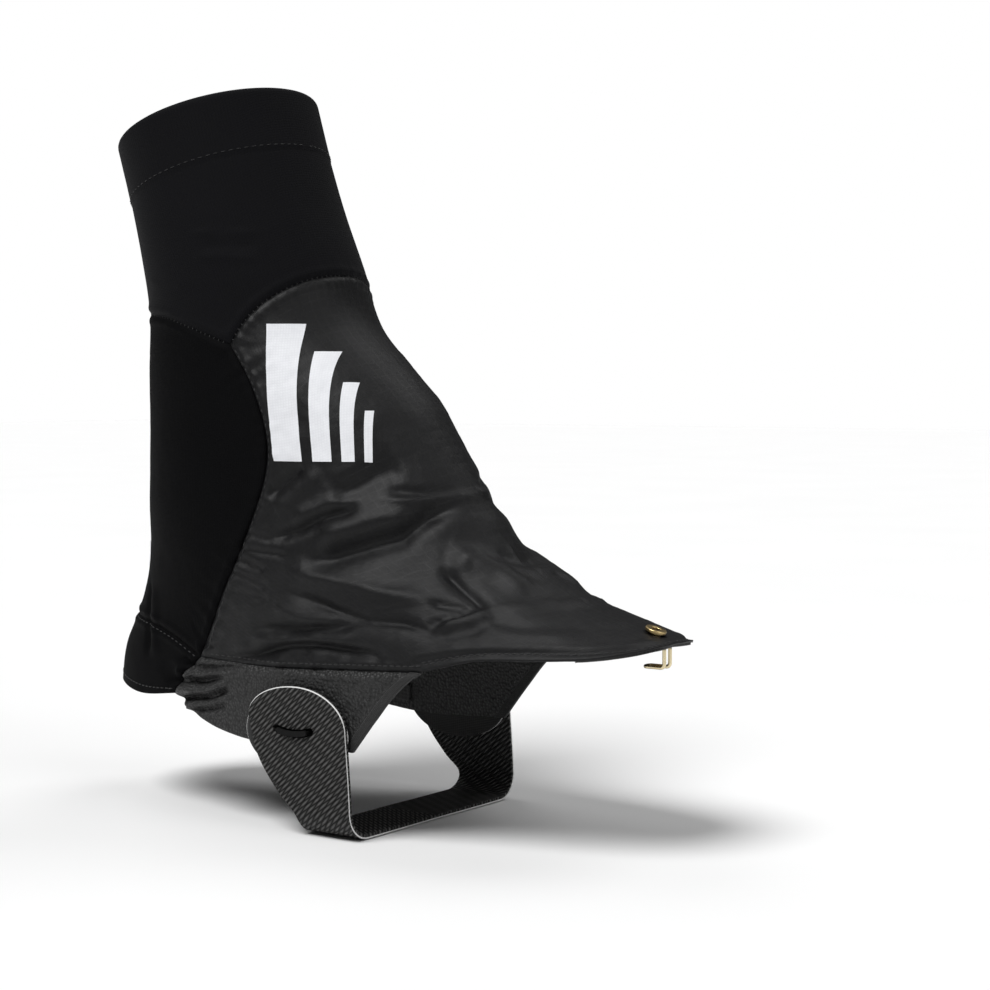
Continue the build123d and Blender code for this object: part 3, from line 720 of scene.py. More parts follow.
def clothLift(points):
    # how far the cloth stands off the form at each point
    lift = np.zeros(len(points))
    right = points[:, 1] < 0
    left = points * [1, -1, 1] + wobbleAt(points, 24, 7.3) * clothHabits["wobble"] * 2.2
    nudged = points + wobbleAt(points, 14, 2.1) * 0.8
    folded = np.where(right[:, None], nudged, left)
    front = np.abs(points[:, 1]) < 20
    for rise, width, sharpness, corners in creases:
        for side in (1, -1):
            if side == 1:
                source, active = folded, np.ones(len(points), bool)
            else:  # a crease that crosses the middle line also shows beyond it
                if corners[-1][1] < 2:
                    continue
                source, active = points, front & ~right
            distance, along = lineDistance(source[active], corners)
            ends = smoothStep(along, -0.02, 0.22) * (1 - smoothStep(along, 0.78, 1.02))
            lift[active] += (1.3 if rise < 0 else 1.1) * rise * np.exp(-((distance / width) ** sharpness)) * ends
    for k, point in enumerate(points):
        _, index, distance = seamTree.find(Vector(point))
        travel, shift, (depth, pucker, length, reach) = seamFacts[index]
        wave = noise.noise(Vector((travel / length, shift, distance / 14)))
        lift[k] *= 1 - 0.55 * math.exp(-((distance / 1.6) ** 2))
        lift[k] += pucker * 1.8 * wave * math.exp(-distance / reach) * (1 - math.exp(-((distance / 0.9) ** 2)))
        lift[k] -= depth * math.exp(-((distance / 0.8) ** 2))
        lift[k] += 0.32 * math.exp(-(((distance - 2.2) / 1.1) ** 2))
        calm = 1 - math.exp(-((distance / 4) ** 2))
        size = clothHabits["crumpleSize"]
        crumple = noise.fractal(Vector(point) / size, 0.8, 2.1, 4)
        lowness = 1 if point[2] < 150 else 0.25
        nylon = 1.0 if point[0] > -40 else 0.35
        lift[k] += clothHabits["crumpleHeight"] * crumple * calm * lowness * nylon
    near, far = clothHabits["rivetCalm"]
    lift *= smoothStep(np.linalg.norm(points - clothHabits["rivet"], axis=1), near, far)
    middle, reach, top = clothHabits["strapCalm"]
    under = (1 - smoothStep(np.abs(points[:, 0] - middle), reach - 6, reach)) * (
        1 - smoothStep(points[:, 2], top - 6, top)
    )
    under *= np.abs(points[:, 1]) > 25
    return np.where(lift > clothHabits["strapLift"], lift + (clothHabits["strapLift"] - lift) * under, lift)


def clothAt(angle, height, lift=0.0):
    points = formPoint(angle, height)
    outward = formNormal(angle, height)
    raised = clothLift(points) + lift
    return points + outward * raised[:, None], outward


# ---- panels: a grid laid between four edges ----
# rows are spaced by the length along the front as well as by height
rowHeights = np.linspace(formHeights[0] - 4, rimHeight + 2, 600)
frontLine = formPoint(np.zeros(600), rowHeights)
frontTravel = np.concatenate([[0], np.cumsum(np.linalg.norm(np.diff(frontLine, axis=0), axis=1))])
rowPlaces = 0.5 * frontTravel + 0.5 * (rowHeights - rowHeights[0])


def toRow(line):
    return np.stack([line[:, 0], np.interp(line[:, 1], rowHeights, rowPlaces)], -1)


class Panel:
    # four edges that meet at their corners: top and bottom run the same way, as do right and left
    def __init__(self, top, bottom, right, left):
        self.edges = [toRow(edge) for edge in (top, bottom, right, left)]

    def edge(self, index, at):
        line = self.edges[index]
        places = np.linspace(0, 1, len(line))
        return np.stack([np.interp(at, places, line[:, k]) for k in (0, 1)], -1)

    def at(self, u, v):
        u, v = np.asarray(u, float), np.asarray(v, float)
        uu, vv = u[:, None], v[:, None]
        top, bottom, right, left = (line for line in self.edges)
        place = (
            (1 - vv) * self.edge(0, u)
            + vv * self.edge(1, u)
            + (1 - uu) * self.edge(2, v)
            + uu * self.edge(3, v)
            - (1 - uu) * (1 - vv) * top[0]
            - uu * (1 - vv) * top[-1]
            - (1 - uu) * vv * bottom[0]
            - uu * vv * bottom[-1]
        )
        return place[:, 0], np.interp(place[:, 1], rowPlaces, rowHeights)


def linkPiece(name, form, finish, smooth=True):
    mesh = bpy.data.meshes.new(name)
    form.to_mesh(mesh)
    form.free()
    if smooth:
        mesh.polygons.foreach_set("use_smooth", [True] * len(mesh.polygons))
    mesh.materials.append(finishes[finish])
    piece = bpy.data.objects.new(name, mesh)
    bpy.context.scene.collection.objects.link(piece)
    return piece


def layGrid(across, down, place, drop=None):
    # a grid whose u runs right to left and v runs down, with a true-size cloth map
    form = bmesh.new()
    bmesh.ops.create_grid(form, x_segments=across, y_segments=down, size=1)
    spots = np.array([vert.co for vert in form.verts])
    u, v = (spots[:, 0] + 1) / 2, (1 - spots[:, 1]) / 2
    points = place(u, v)
    columns, rows = np.rint(u * across).astype(int), np.rint(v * down).astype(int)
    net = np.zeros((rows.max() + 1, columns.max() + 1, 3))
    net[rows, columns] = points
    alongRow = np.cumsum(np.linalg.norm(np.diff(net, axis=1, prepend=net[:, :1]), axis=2), axis=1)
    alongRow -= alongRow[:, [net.shape[1] // 2]]
    downColumn = np.cumsum(np.linalg.norm(np.diff(net, axis=0, prepend=net[:1]), axis=2), axis=0)
    clothLayer = form.loops.layers.uv.new("cloth")
    for vert, point in zip(form.verts, points):
        vert.co = Vector(point) * mm
    for face in form.faces:
        for loop in face.loops:
            k = loop.vert.index
            loop[clothLayer].uv = (alongRow[rows[k], columns[k]] * mm, downColumn[rows[k], columns[k]] * mm)
    if drop is not None:
        gone = [vert for vert in form.verts if drop(vert.co / mm)]
        bmesh.ops.delete(form, geom=gone, context="VERTS")
    return form


def faceOutward(form, outwardAt):
    # turns the whole sheet over if it faces the wrong way
    form.normal_update()
    face = max(form.faces, key=lambda f: f.calc_area())
    if face.normal.dot(Vector(outwardAt(face.calc_center_median() / mm))) < 0:
        bmesh.ops.reverse_faces(form, faces=form.faces[:])


def awayFromMiddle(point):
    return (point.x * 0.2 + 8, point.y, 0.3 * abs(point.x)) if point.x > -40 else (point.x + 40, point.y, 0)


def thicken(piece, wall):
    layer = piece.modifiers.new("wall", "SOLIDIFY")
    layer.thickness = wall * mm
    layer.offset = -1
    layer.use_even_offset = False


def sheetArea(form):
    return sum(face.calc_area() for face in form.faces)


def nearRivet(point):
    return (point - Vector(clothHabits["rivet"])).length < 2.3


def finishSheet(name, form, settings, nodes):
    faceOutward(form, awayFromMiddle)
    area = sheetArea(form)
    piece = linkPiece(name, form, settings["finish"])
    thicken(piece, settings["wall"])
    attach(piece, "root")
    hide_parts(*nodes)
    width, length = settings["flat"]
    print(name, "flat", width, length, "sewn area share", round(area / (width * length), 3))
    return piece


frontPanelSettings = {
    "grid": (330, 150),
    "wall": 0.7,
    "finish": "ripstop",
    "slot": "ripstop_nylon",
    "flat": (0.25, 0.15),
    "cut": 0.66,
    "restsOn": ["ankle_cuff", "side_reinforcement_right", "side_reinforcement_left", "tip_patch"],
}
frontPanelEdges = Panel(
    joined(seams["frontCuff"], mirrored(seams["frontCuff"])[::-1]),
    joined(seams["low"], seams["frontHem"], mirrored(seams["frontHem"])[::-1], mirrored(seams["low"])[::-1]),
    seams["side"],
    mirrored(seams["side"]),
)


def buildFrontPanel():
    across, down = frontPanelSettings["grid"]
    form = layGrid(across, down, lambda u, v: clothAt(*frontPanelEdges.at(u, v))[0], nearRivet)
    return finishSheet("frontPanel", form, frontPanelSettings, ["front_panel"])


rearPanelSettings = {
    "grid": (220, 130),
    "wall": 0.9,
    "finish": "stretch",
    "slot": "stretch_panel",
    "flat": (0.17, 0.107),
    "cut": 0.94,
    "restsOn": ["ankle_cuff", "heel_patch"],
}
fullTurn = 2 * math.pi
rearPanelEdges = Panel(
    joined(seams["rearCuff"][::-1], mirrored(seams["rearCuff"], fullTurn)),
    joined(seams["heel"][::-1], mirrored(seams["heel"], fullTurn)),
    seams["side"],
    mirrored(seams["side"], fullTurn),
)


def buildRearPanel():
    across, down = rearPanelSettings["grid"]
    form = layGrid(across, down, lambda u, v: clothAt(*rearPanelEdges.at(u, v))[0])
    return finishSheet("rearPanel", form, rearPanelSettings, ["rear_panel"])


heelPatchSettings = {
    "grid": (170, 34),
    "wall": 0.9,
    "finish": "stretch",
    "slot": "stretch_panel",
    "flat": (0.145, 0.026),
    "cut": 0.87,
    "restsOn": ["rear_panel"],
}
heelPatchEdges = Panel(
    joined(seams["heel"][::-1], mirrored(seams["heel"], fullTurn)),
    joined(seams["heelBottom"], mirrored(seams["heelBottom"], fullTurn)[::-1]),
    seams["heelFront"],
    mirrored(seams["heelFront"], fullTurn),
)


def buildHeelPatch():
    across, down = heelPatchSettings["grid"]
    form = layGrid(across, down, lambda u, v: clothAt(*heelPatchEdges.at(u, v))[0])
    return finishSheet("heelPatch", form, heelPatchSettings, ["heel_patch"])


sidePanelSettings = {
    "grid": (130, 40),
    "wall": 0.9,
    "finish": "grained",
    "slot": "grained_panel",
    "flat": (0.105, 0.028),
    "cut": 0.75,
    "restsOn": ["front_panel", "heel_patch"],
}
sidePanelEdges = Panel(seams["low"], seams["lowEdge"], seams["heelFront"], seams["frontEdge"])


def onSide(points, side):
    return points if side == "right" else points * [1, -1, 1]


def buildSidePanel(side):
    across, down = sidePanelSettings["grid"]

    def place(u, v):
        return onSide(clothAt(*sidePanelEdges.at(u, v))[0], side)

    form = layGrid(across, down, place)
    return finishSheet(f"sidePanel.{side}", form, sidePanelSettings, ["side_reinforcement_" + side])


cuffSettings = {
    "round": 240,
    "outsideRows": 90,
    "wall": 1.0,
    "hemDepth": 3.7,
    "topRound": 1.7,
    "hemStep": 0.22,
    "finish": "knit",
    "slot": "stretch_knit",
    "flat": (0.21, 0.092),
    "cut": 0.95,
}


def cuffProfile():
    # (share of the way up, depth under the outside) going up outside, over the rim and down inside
    rows = [(t, 0.0) for t in np.linspace(0, 0.97, cuffSettings["outsideRows"])]
    depth, roundness = cuffSettings["hemDepth"], cuffSettings["topRound"]
    for turn in np.linspace(0, math.pi, 11):
        rows.append((0.97 + 0.03 * math.sin(turn), depth / 2 * (1 - math.cos(turn))))
    hemShare = 0.66
    rows += [(t, depth) for t in np.linspace(0.96, hemShare, 16)]
    rows += [(hemShare - 0.01, d) for d in np.linspace(depth - 0.3, cuffSettings["wall"] + 0.2, 4)]
    rows += [(t, cuffSettings["wall"]) for t in np.linspace(hemShare - 0.02, 0, 24)]
    return np.array(rows)


def cuffSeamHeight(angle):
    turned = np.mod(angle, fullTurn)
    folded = np.where(turned > math.pi, fullTurn - turned, turned)
    front, rear = seams["frontCuff"][::-1], seams["rearCuff"][::-1]
    line = np.vstack([front, rear[1:]])
    return np.interp(folded, line[:, 0], line[:, 1])


def buildCuff():
    profile = cuffProfile()
    hemHeight = legCentre(wornForm["rimDistance"] - wornForm["hemHeight"])[1]

    def place(u, v):
        row = np.rint(v * (len(profile) - 1)).astype(int)
        share, depth = profile[row].T
        angle = fullTurn * u + math.pi
        low = cuffSeamHeight(angle)
        height = low + share * (rimHeight - low)
        lift = cuffSettings["hemStep"] * smoothStep(height, hemHeight - 0.3, hemHeight + 0.5)
        lift -= 0.16 * np.exp(-(((height - hemHeight) / 0.5) ** 2))
        outside = row <= cuffSettings["outsideRows"] + 5
        points, outward = clothAt(angle, height, np.where(outside, lift, 0.0))
        return points - outward * depth[:, None]

    form = layGrid(cuffSettings["round"], len(profile) - 1, place)
    bmesh.ops.remove_doubles(form, verts=form.verts, dist=0.02 * mm)
    edges = [edge for edge in form.edges if edge.is_boundary]
    bmesh.ops.bridge_loops(form, edges=edges)
    bmesh.ops.recalc_face_normals(form, faces=form.faces)
    area = sheetArea(form)
    piece = linkPiece("cuff", form, cuffSettings["finish"])
    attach(piece, "root")
    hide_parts("ankle_cuff")
    width, length = cuffSettings["flat"]
    print("cuff closed area", round(area, 5), "half over flat", round(area / 2 / (width * length), 3))
    return piece


buildFrontPanel()
buildRearPanel()
buildHeelPatch()
for side in ("right", "left"):
    buildSidePanel(side)
buildCuff()
print("cloth panels laid")

# ---- edges, bands and pads ----
bindingSettings = {
    "grid": (70, 26),
    "width": 3.6,
    "wall": 0.5,
    "finish": "binding",
    "slot": "edge_binding",
    "flat": (0.010, 0.0375),
    "cut": 0.7,
    "restsOn": ["side_reinforcement_right", "side_reinforcement_left"],
}


def buildBinding(side):
    # a tape folded over the panel's free edge: outside, round the edge, and back inside
    line = seams["frontEdge"]
    width = bindingSettings["width"]
    turn = np.linspace(0, math.pi, 9)
    reach = [*np.linspace(width, 0.3, 9), *(-0.45 * np.sin(turn[1:-1])), *np.linspace(0.0, width, 9)]
    rise = [*([0.32] * 9), *(-0.43 + 0.75 * np.cos(turn[1:-1])), *([-1.18] * 9)]
    rise[0], rise[-1] = 0.12, -1.0

    def place(u, v):
        at = v * (len(reach) - 1)
        inward = np.interp(at, range(len(reach)), reach)
        lift = np.interp(at, range(len(rise)), rise)
        shares = np.linspace(0, 1, len(line))
        angle = np.interp(u, shares, line[:, 0])
        height = np.interp(u, shares, line[:, 1])
        points, outward = clothAt(angle, height)
        inside = clothAt(angle + 0.03, height)[0] - points
        inside /= np.linalg.norm(inside, axis=1)[:, None]
        stitched = 0.12 * np.sin(u * 90) * np.exp(-(((inward - 1.9) / 0.5) ** 2)) * (lift > 0)
        spot = points + inside * inward[:, None] + outward * (lift - stitched)[:, None]
        return onSide(spot, side)

    across, down = bindingSettings["grid"]
    form = layGrid(across, down, place)
    return finishSheet(f"binding.{side}", form, bindingSettings, ["side_binding_" + side])


hemBandSettings = {
    "grid": (60, 8),
    "wall": 0.7,
    "lift": -1.1,
    "finish": "elastic",
    "slot": "elastic_band",
    "flat": (0.010, 0.037),
    "cut": 0.6,
    "restsOn": ["side_reinforcement_right", "side_reinforcement_left"],
}


def buildHemBand(side):
    rear, front, low, rise, tall = heelLowCorner[0] + 6, -30.0, wornForm["edgeHeight"] + 2.4, 4.0, 6.0

    def place(u, v):
        x = rear + (front - rear) * u
        z = low + rise * (1 - u) + tall * (1 - v)
        spot = onForm(np.stack([x, z], -1))
        return onSide(clothAt(spot[:, 0], spot[:, 1], hemBandSettings["lift"])[0], side)

    across, down = hemBandSettings["grid"]
    return finishSheet(f"hemBand.{side}", layGrid(across, down, place), hemBandSettings, ["hem_elastic_" + side])


cuffBandSettings = {
    "grid": (200, 8),
    "wall": 0.8,
    "depth": 1.45,
    "finish": "elastic",
    "slot": "elastic_band",
    "flat": (0.20, 0.016),
    "cut": 1.0,
    "restsOn": ["ankle_cuff"],
}


def buildCuffBand():
    low, high = legCentre(wornForm["rimDistance"] - 19.5)[1], legCentre(wornForm["rimDistance"] - 3.5)[1]

    def place(u, v):
        angle = fullTurn * u + math.pi
        points, outward = clothAt(angle, high + (low - high) * v)
        return points - outward * cuffBandSettings["depth"]

    across, down = cuffBandSettings["grid"]
    form = layGrid(across, down, place)
    bmesh.ops.remove_doubles(form, verts=form.verts, dist=0.02 * mm)
    return finishSheet("cuffBand", form, cuffBandSettings, ["cuff_elastic"])


gripPadSettings = {
    "grid": (110, 26),
    "wall": 1.6,
    "lift": -1.05,
    "finish": "pile",
    "slot": "hook_and_loop",
    "flat": (0.078, 0.019),
    "cut": 1.0,
    "restsOn": ["heel_patch"],
}


def buildGripPad():
    edge = onForm([(-92.0, 56.0), (-92.0, 47.0), (-92.0, 38.0)])

    def place(u, v):
        height = 56.0 - 18.0 * v
        reach = math.pi - np.interp(height, edge[::-1, 1], edge[::-1, 0])
        angle = math.pi + (2 * u - 1) * reach
        return clothAt(angle, height, gripPadSettings["lift"])[0]

    across, down = gripPadSettings["grid"]
    return finishSheet("gripPad", layGrid(across, down, place), gripPadSettings, ["heel_grip_pad"])


tipPatchSettings = {
    "grid": (90, 24),
    "wall": 0.8,
    "lift": -0.85,
    "length": 18.0,
    "finish": "backing",
    "slot": "stiff_backing",
    "flat": (0.048, 0.018),
    "cut": 0.6,
    "restsOn": ["front_panel"],
}


def buildTipPatch():
    rear = wornForm["tipReach"] - tipPatchSettings["length"]
    hem = seams["frontHem"]
    ahead = hem[formPoint(hem[:, 0], hem[:, 1])[:, 0] > rear]
    middle = np.interp(rear, frontLine[::-1, 0], rowHeights[::-1])
    over = np.array([ahead[0], [ahead[0][0] * 0.5, (ahead[0][1] + middle) / 2 + 0.9], [0, middle]])
    right, left = np.repeat(ahead[:1], 4, axis=0), np.repeat(mirrored(ahead[:1]), 4, axis=0)
    edges = Panel(
        joined(over, mirrored(over)[::-1]), joined(ahead, mirrored(ahead)[::-1]), right, left
    )

    def place(u, v):
        angle, height = edges.at(u, v * 0.93 + 0.035)
        return clothAt(angle, height, tipPatchSettings["lift"])[0]

    across, down = tipPatchSettings["grid"]
    return finishSheet("tipPatch", layGrid(across, down, place, nearRivet), tipPatchSettings, ["tip_patch"])


for side in ("right", "left"):
    buildBinding(side)
    buildHemBand(side)
buildCuffBand()
buildGripPad()
buildTipPatch()
print("edges, bands and pads laid")

# ---- print: slanted bars and a small mark, on the right side only ----
printSettings = {
    "lift": 0.17,
    "bottom": 115.0,
    "lean": 0.21,
    # left edge, width, height
    "bars": [(-27, 9.5, 44), (-14, 6, 35), (-5, 3.8, 25), (1.5, 2.2, 16)],
    "mark": (-96.0, 81.5, 2.5, 4.5),
}


def roundPatch(u, v):
    # the unit square drawn out to a disc
    a, b = 2 * u - 1, 2 * v - 1
    return a * np.sqrt(1 - b * b / 2), b * np.sqrt(1 - a * a / 2)


def layPrint(across, down, outlineAt):
    def place(u, v):
        spot = onForm(np.stack(outlineAt(u, v), -1))
        return clothAt(spot[:, 0], spot[:, 1], printSettings["lift"])[0]

    form = layGrid(across, down, place)
    faceOutward(form, awayFromMiddle)
    return form


def buildFrontGraphic():
    bars = bpy.data.meshes.new("bars")
    whole = bmesh.new()
    for left, width, tall in printSettings["bars"]:

        def outlineAt(u, v):
            up = tall * (1 - v)
            return left + width * u - printSettings["lean"] * up, printSettings["bottom"] + up

        form = layPrint(max(4, int(width * 1.6)), int(tall * 1.4), outlineAt)
        form.to_mesh(bars)
        form.free()
        whole.from_mesh(bars)
    piece = linkPiece("frontGraphic", whole, "print")
    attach(piece, "root")
    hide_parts("front_graphic")


def buildBackMark():
    x, z, wide, tall = printSettings["mark"]

    def outlineAt(u, v):
        a, b = roundPatch(u, v)
        return x + wide * a, z - tall * b

    piece = linkPiece("backMark", layPrint(16, 24, outlineAt), "print")
    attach(piece, "root")
    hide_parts("back_mark")


buildFrontGraphic()
buildBackMark()
print("print laid")

# ---- strap: cut flat with its slot, then folded under the foot and up each side ----
strapSettings = {
    "grid": (44, 108),
    "layers": (-0.7, 0.22, 0.52, 0.7),
    "core": 0.22,
    "backingCore": -0.3,
    "rimInset": 0.2,
    "middleRadius": 8.0,
    "turnStart": 36.1,
    "soleHeight": -1.0,
    "slot": "coated_webbing",
    "flat": (0.040, 0.088),
    "cut": 0.72,
    "slotMiddle": (-12.0, 30.2),
    "slotLength": 17.0,
    "slotHeight": 2.6,
    "slotSag": 1.6,
    "backingLayers": (-0.5, -0.3, 0.35, 0.5),
    "backingFlat": (0.041, 0.026),
    "backingCut": 0.75,
    "backingMiddle": 42.9,
}
turnLength = strapSettings["middleRadius"] * math.pi / 2
uprightStart = strapSettings["turnStart"] + turnLength
turnHeight = strapSettings["soleHeight"] + strapSettings["middleRadius"]


def travelAt(height):
    return uprightStart + height - turnHeight


def strapOutline(u, v):
    # the flat strap as (x, travel from the middle of the sole), between its four edges
    rear = smoothLine([(-11, 0), (-11, 38), (-11.4, 46), (-17.6, travelAt(10.3)), (-27.2, travelAt(23)), (-30.5, travelAt(35))])
    front = smoothLine([(11, 0), (11, 38), (10.4, travelAt(10.3)), (8.8, travelAt(32))])
    turn = np.linspace(0, math.pi / 2, 60)
    crown = np.concatenate(
        [
            np.stack([-11 - 19.5 * np.cos(turn), travelAt(35) + 10 * np.sin(turn)], -1),
            np.stack([-11 + 19.8 * np.sin(turn), travelAt(32) + 13 * np.cos(turn)], -1)[1:],
        ]
    )
    sole = np.array([(-11, 0), (11, 0)], float)

    def along(line, at):
        gaps = np.linalg.norm(np.diff(line, axis=0), axis=1)
        places = np.concatenate([[0], np.cumsum(gaps)]) / gaps.sum()
        return np.stack([np.interp(at, places, line[:, k]) for k in (0, 1)], -1)

    uu, vv = u[:, None], v[:, None]
    spot = (
        (1 - vv) * along(sole, u)
        + vv * along(crown, u)
        + (1 - uu) * along(rear, v)
        + uu * along(front, v)
        - (1 - uu) * (1 - vv) * sole[0]
        - uu * (1 - vv) * sole[1]
        - (1 - uu) * vv * crown[0]
        - uu * vv * crown[-1]
    )
    return spot[:, 0], spot[:, 1]


def backingOutline(u, v):
    a, b = roundPatch(u, v)
    x, z = strapSettings["slotMiddle"]
    return x + 20.6 * a, travelAt(z) + 13 * b


def slotCutter():
    length, tall, sag = (strapSettings[key] for key in ("slotLength", "slotHeight", "slotSag"))
    bend = ((length / 2) ** 2 + sag**2) / (2 * sag)
    turn = length / 2 / bend
    ends = tall / length
    form = bmesh.new()
    bmesh.ops.create_grid(form, x_segments=36, y_segments=2, size=1)
    for vert in form.verts:
        past = max(0.0, (abs(vert.co.x) - (1 - ends)) / ends)
        half = tall / 2 * max(0.02, math.sqrt(max(0.0, 1 - past**2)))
        radius = bend - half * vert.co.y
        angle = turn * vert.co.x
        x = strapSettings["slotMiddle"][0] + radius * math.sin(angle)
        z = strapSettings["slotMiddle"][1] + bend - radius * math.cos(angle)
        vert.co = Vector((x, travelAt(z), -3.0)) * mm
    made = bmesh.ops.extrude_face_region(form, geom=form.faces[:])
    top = [item for item in made["geom"] if isinstance(item, bmesh.types.BMVert)]
    bmesh.ops.translate(form, verts=top, vec=(0, 0, 6 * mm))
    bmesh.ops.recalc_face_normals(form, faces=form.faces)
    mesh = bpy.data.meshes.new("slotCutter")
    form.to_mesh(mesh)
    form.free()
    return mesh


def cutFlatPiece(outline, grid, layers):
    form = bmesh.new()
    bmesh.ops.create_grid(form, x_segments=grid[0], y_segments=grid[1], size=1)
    spots = np.array([vert.co for vert in form.verts])
    x, travel = outline((spots[:, 0] + 1) / 2, (spots[:, 1] + 1) / 2)
    inset = strapSettings["rimInset"]
    drawn = outline(
        0.5 + spots[:, 0] / 2 * (1 - inset / 19), 0.5 + spots[:, 1] / 2 - (spots[:, 1] + 1) / 2 * inset / 60
    )
    moves = np.stack([drawn[0] - x, drawn[1] - travel], -1)
    for vert, a, b in zip(form.verts, x, travel):
        vert.co = Vector((a, b, layers[0])) * mm
    starts = kdtree.KDTree(len(moves))
    for number, (a, b) in enumerate(zip(x, travel)):
        starts.insert((a, b, 0), number)
    starts.balance()
    face = form.faces[:]
    for low, high in zip(layers, layers[1:]):
        made = bmesh.ops.extrude_face_region(form, geom=face)
        if low > layers[0]:
            bmesh.ops.delete(form, geom=face, context="FACES")
        face = [item for item in made["geom"] if isinstance(item, bmesh.types.BMFace)]
        top = [item for item in made["geom"] if isinstance(item, bmesh.types.BMVert)]
        bmesh.ops.translate(form, verts=top, vec=(0, 0, (high - low) * mm))
    for vert in form.verts:
        if abs(vert.co.z / mm - layers[-1]) < 1e-3:
            number = starts.find((vert.co.x / mm, vert.co.y / mm, 0))[1]
            vert.co += Vector((*moves[number], 0)) * mm
    bmesh.ops.recalc_face_normals(form, faces=form.faces)
    mesh = bpy.data.meshes.new("flatPiece")
    form.to_mesh(mesh)
    form.free()
    flat = bpy.data.objects.new("flatPiece", mesh)
    cutter = bpy.data.objects.new("slotCutter", slotCutter())
    for made in (flat, cutter):
        bpy.context.scene.collection.objects.link(made)
    cut = flat.modifiers.new("slot", "BOOLEAN")
    cut.operation = "DIFFERENCE"
    cut.solver = "EXACT"
    cut.object = cutter
    depsgraph = bpy.context.evaluated_depsgraph_get()
    cutMesh = bpy.data.meshes.new_from_object(flat.evaluated_get(depsgraph))
    form = bmesh.new()
    form.from_mesh(cutMesh)
    for made in (flat, cutter):
        bpy.data.objects.remove(made)
    return form


def foldStrap(spot):
    x, travel, rise = spot
    start, radius = strapSettings["turnStart"], strapSettings["middleRadius"]
    if travel <= start:
        return x, -travel, strapSettings["soleHeight"] - rise
    if travel < uprightStart:
        turn = (travel - start) / radius
        return x, -start - (radius + rise) * math.sin(turn), turnHeight - (radius + rise) * math.cos(turn)
    return x, -start - radius - rise, turnHeight + travel - uprightStart


def standBacking(spot):
    x, travel, rise = spot
    return x, -strapSettings["backingMiddle"] - rise, turnHeight + travel - uprightStart


def foldPiece(name, form, fold, side, core):
    form.normal_update()
    cloth = form.loops.layers.uv.new("cloth")
    slotX, slotZ = strapSettings["slotMiddle"]
    for face in form.faces:
        middle = face.calc_center_median() / mm
        # the walls round the slot keep the dark webbing finish, not the pale core: painted shade inside the slot
        nearSlot = abs(middle.x - slotX) < 9.6 and abs(middle.y - travelAt(slotZ + 0.8)) < 3
        face.material_index = int(abs(face.normal.z) < 0.9 and middle.z > core and not nearSlot)
        for loop in face.loops:
            loop[cloth].uv = loop.vert.co.xy
    for vert in form.verts:
        x, y, z = fold(vert.co / mm)
        vert.co = Vector((x, y if side == "right" else -y, z)) * mm
    bmesh.ops.recalc_face_normals(form, faces=form.faces)
    area = sheetArea(form)
    piece = linkPiece(name, form, "webbing")
    piece.data.materials.append(finishes["core"])
    rounding = piece.modifiers.new("softEdge", "BEVEL")
    rounding.width = 0.13 * mm
    rounding.segments = 2
    rounding.limit_method = "ANGLE"
    rounding.angle_limit = math.radians(50)
    rounding.material = -1
    print(name, "area", round(area / 2, 6))
    return piece


def buildStrapHalf(side):
    form = cutFlatPiece(strapOutline, strapSettings["grid"], strapSettings["layers"])
    piece = foldPiece(f"strap.{side}", form, foldStrap, side, strapSettings["core"])
    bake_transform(piece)
    replaced = ["strap_tab_" + side] + (["underfoot_strap"] if side == "right" else [])
    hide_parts(*replaced)

    form = cutFlatPiece(backingOutline, (30, 22), strapSettings["backingLayers"])
    backing = foldPiece(f"backing.{side}", form, standBacking, side, strapSettings["backingCore"])
    backing.data.materials[0] = finishes["backing"]
    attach(backing, "strap_end_" + side)
    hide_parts("strap_backing_" + side)


for side in ("right", "left"):
    buildStrapHalf(side)
print("strap folded")

# ---- sewing: every stitch is one small rounded bead of thread ----
stitchRows = {
    # pitch, length, thickness, finish, whether it lies across the seam, lift
    "frontHem": (2.3, 1.7, 0.24, "blackThread", False, 0.05),
    "lowSeam": (2.4, 1.7, 0.22, "blackThread", False, 0.05),
    "cuffSeam": (1.9, 2.3, 0.20, "blackThread", True, 0.02),
    "rearSeam": (1.9, 2.0, 0.18, "blackThread", True, 0.02),
    "sideSeam": (2.5, 1.7, 0.18, "blackThread", False, 0.0),
    "heelSeam": (2.6, 1.5, 0.17, "blackThread", False, 0.0),
    "cuffHem": (2.6, 1.6, 0.12, "blackThread", False, 0.30),
    "bindingEdge": (2.2, 1.5, 0.20, "blackThread", False, 0.52),
    "heelHem": (2.6, 1.8, 0.20, "blackThread", False, 0.05),
}


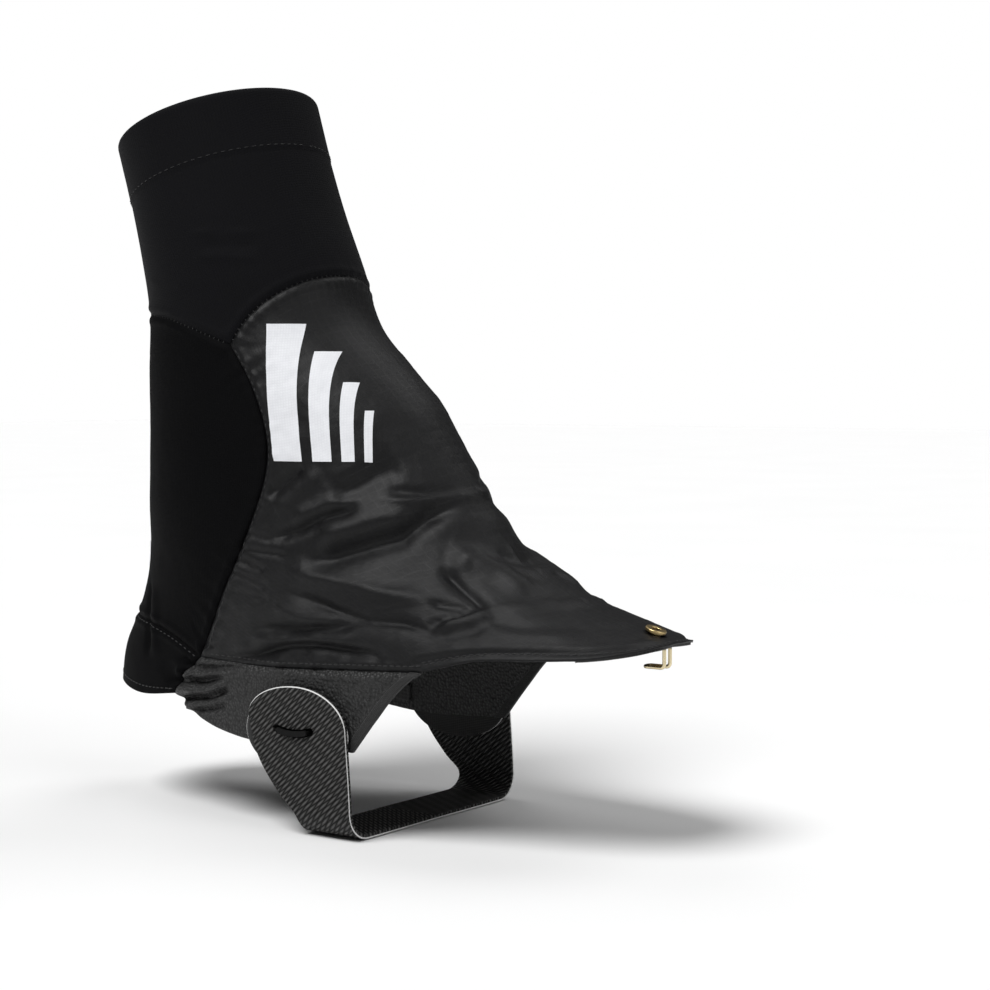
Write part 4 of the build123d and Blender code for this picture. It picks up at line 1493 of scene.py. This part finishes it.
def sew(name, lines):
    pitch, length, thickness, finish, crossing, lift = stitchRows[name]
    form = bmesh.new()
    for line, side in lines:
        points, outward = clothAt(line[:, 0], line[:, 1], lift)
        points, outward = onSide(points, side), onSide(outward, side)
        gaps = np.linalg.norm(np.diff(points, axis=0), axis=1)
        travel = np.concatenate([[0], np.cumsum(gaps)])
        for number, at in enumerate(np.arange(pitch, travel[-1] - pitch / 2, pitch)):
            middle, up, ahead, before = (
                Vector([np.interp(place, travel, values[:, k]) for k in range(3)])
                for place, values in (
                    (at, points),
                    (at, outward),
                    (at + 0.4, points),
                    (at - 0.4, points),
                )
            )
            if (middle - Vector(clothHabits["rivet"])).length < 4.2:
                continue
            run = (ahead - before).normalized()
            up = (up - run * up.dot(run)).normalized()
            if crossing:
                run = up.cross(run)
            slip = noise.noise(Vector((number * 1.7, len(name), line[0, 0])))
            run = (Matrix.Rotation(0.16 * slip, 3, up) @ run).normalized()
            aside = up.cross(run)
            frameAt = Matrix(
                (
                    (*(aside * thickness), 0),
                    (*(up * thickness), 0),
                    (*(run * length / 2), 0),
                    (0, 0, 0, 1),
                )
            ).transposed()
            frameAt.translation = middle
            bmesh.ops.create_uvsphere(
                form, u_segments=6, v_segments=5, radius=1, matrix=Matrix.Scale(mm, 4) @ frameAt
            )
    bmesh.ops.recalc_face_normals(form, faces=form.faces)
    piece = linkPiece(name + "Stitches", form, finish)
    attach(piece, "root")
    return piece


def acrossPanel(edges, v, low=0.0, high=1.0, count=400):
    u = np.linspace(low, high, count)
    return np.stack(edges.at(u, np.full(count, v)), -1)


def downPanel(edges, u, count=200):
    v = np.linspace(0.01, 0.99, count)
    return np.stack(edges.at(np.full(count, u), v), -1)


lowShare = 94.0 / 284.0
sew("frontHem", [(seams["hemStitch"], "right"), (seams["hemStitch"], "left")])
sew(
    "lowSeam",
    [
        (acrossPanel(frontPanelEdges, 0.983, 0.01, lowShare), "right"),
        (acrossPanel(frontPanelEdges, 0.983, 0.01, lowShare), "left"),
    ],
)
sew("cuffSeam", [(seams["frontCuff"], "right"), (seams["frontCuff"], "left")])
sew("rearSeam", [(seams["rearCuff"], "right"), (seams["rearCuff"], "left")])
sew(
    "sideSeam",
    [(downPanel(frontPanelEdges, 0.008), "right"), (downPanel(frontPanelEdges, 0.008), "left")],
)
sew("heelSeam", [(acrossPanel(heelPatchEdges, 0.05), "right")])
sew("heelHem", [(acrossPanel(heelPatchEdges, 0.90), "right")])
hemRound = np.linspace(0, fullTurn, 400)
hemLine = np.full(400, legCentre(wornForm["rimDistance"] - wornForm["hemHeight"] + 1.5)[1])
sew("cuffHem", [(np.stack([hemRound, hemLine], -1), "right")])
bindingLine = seams["frontEdge"] + [0.055, 0]
sew("bindingEdge", [(bindingLine, "right"), (bindingLine, "left")])
print("sewing done")

# ---- hard parts kept as they are, with their finishes ----
hardFinishes = {
    "lace_hook_rivet": "brass",
    "rivet_washer": "brass",
    "lace_hook": "wire",
    "strap_hook_base_right": "plastic",
    "strap_hook_base_left": "plastic",
    "strap_hook_right": "plastic",
    "strap_hook_left": "plastic",
}


def dressHardParts():
    for made in bpy.context.scene.objects:
        for node, finish in hardFinishes.items():
            if made.type == "MESH" and made.name == node:
                made.data.materials.clear()
                made.data.materials.append(finishes[finish])


dressHardParts()
print("hard parts dressed")
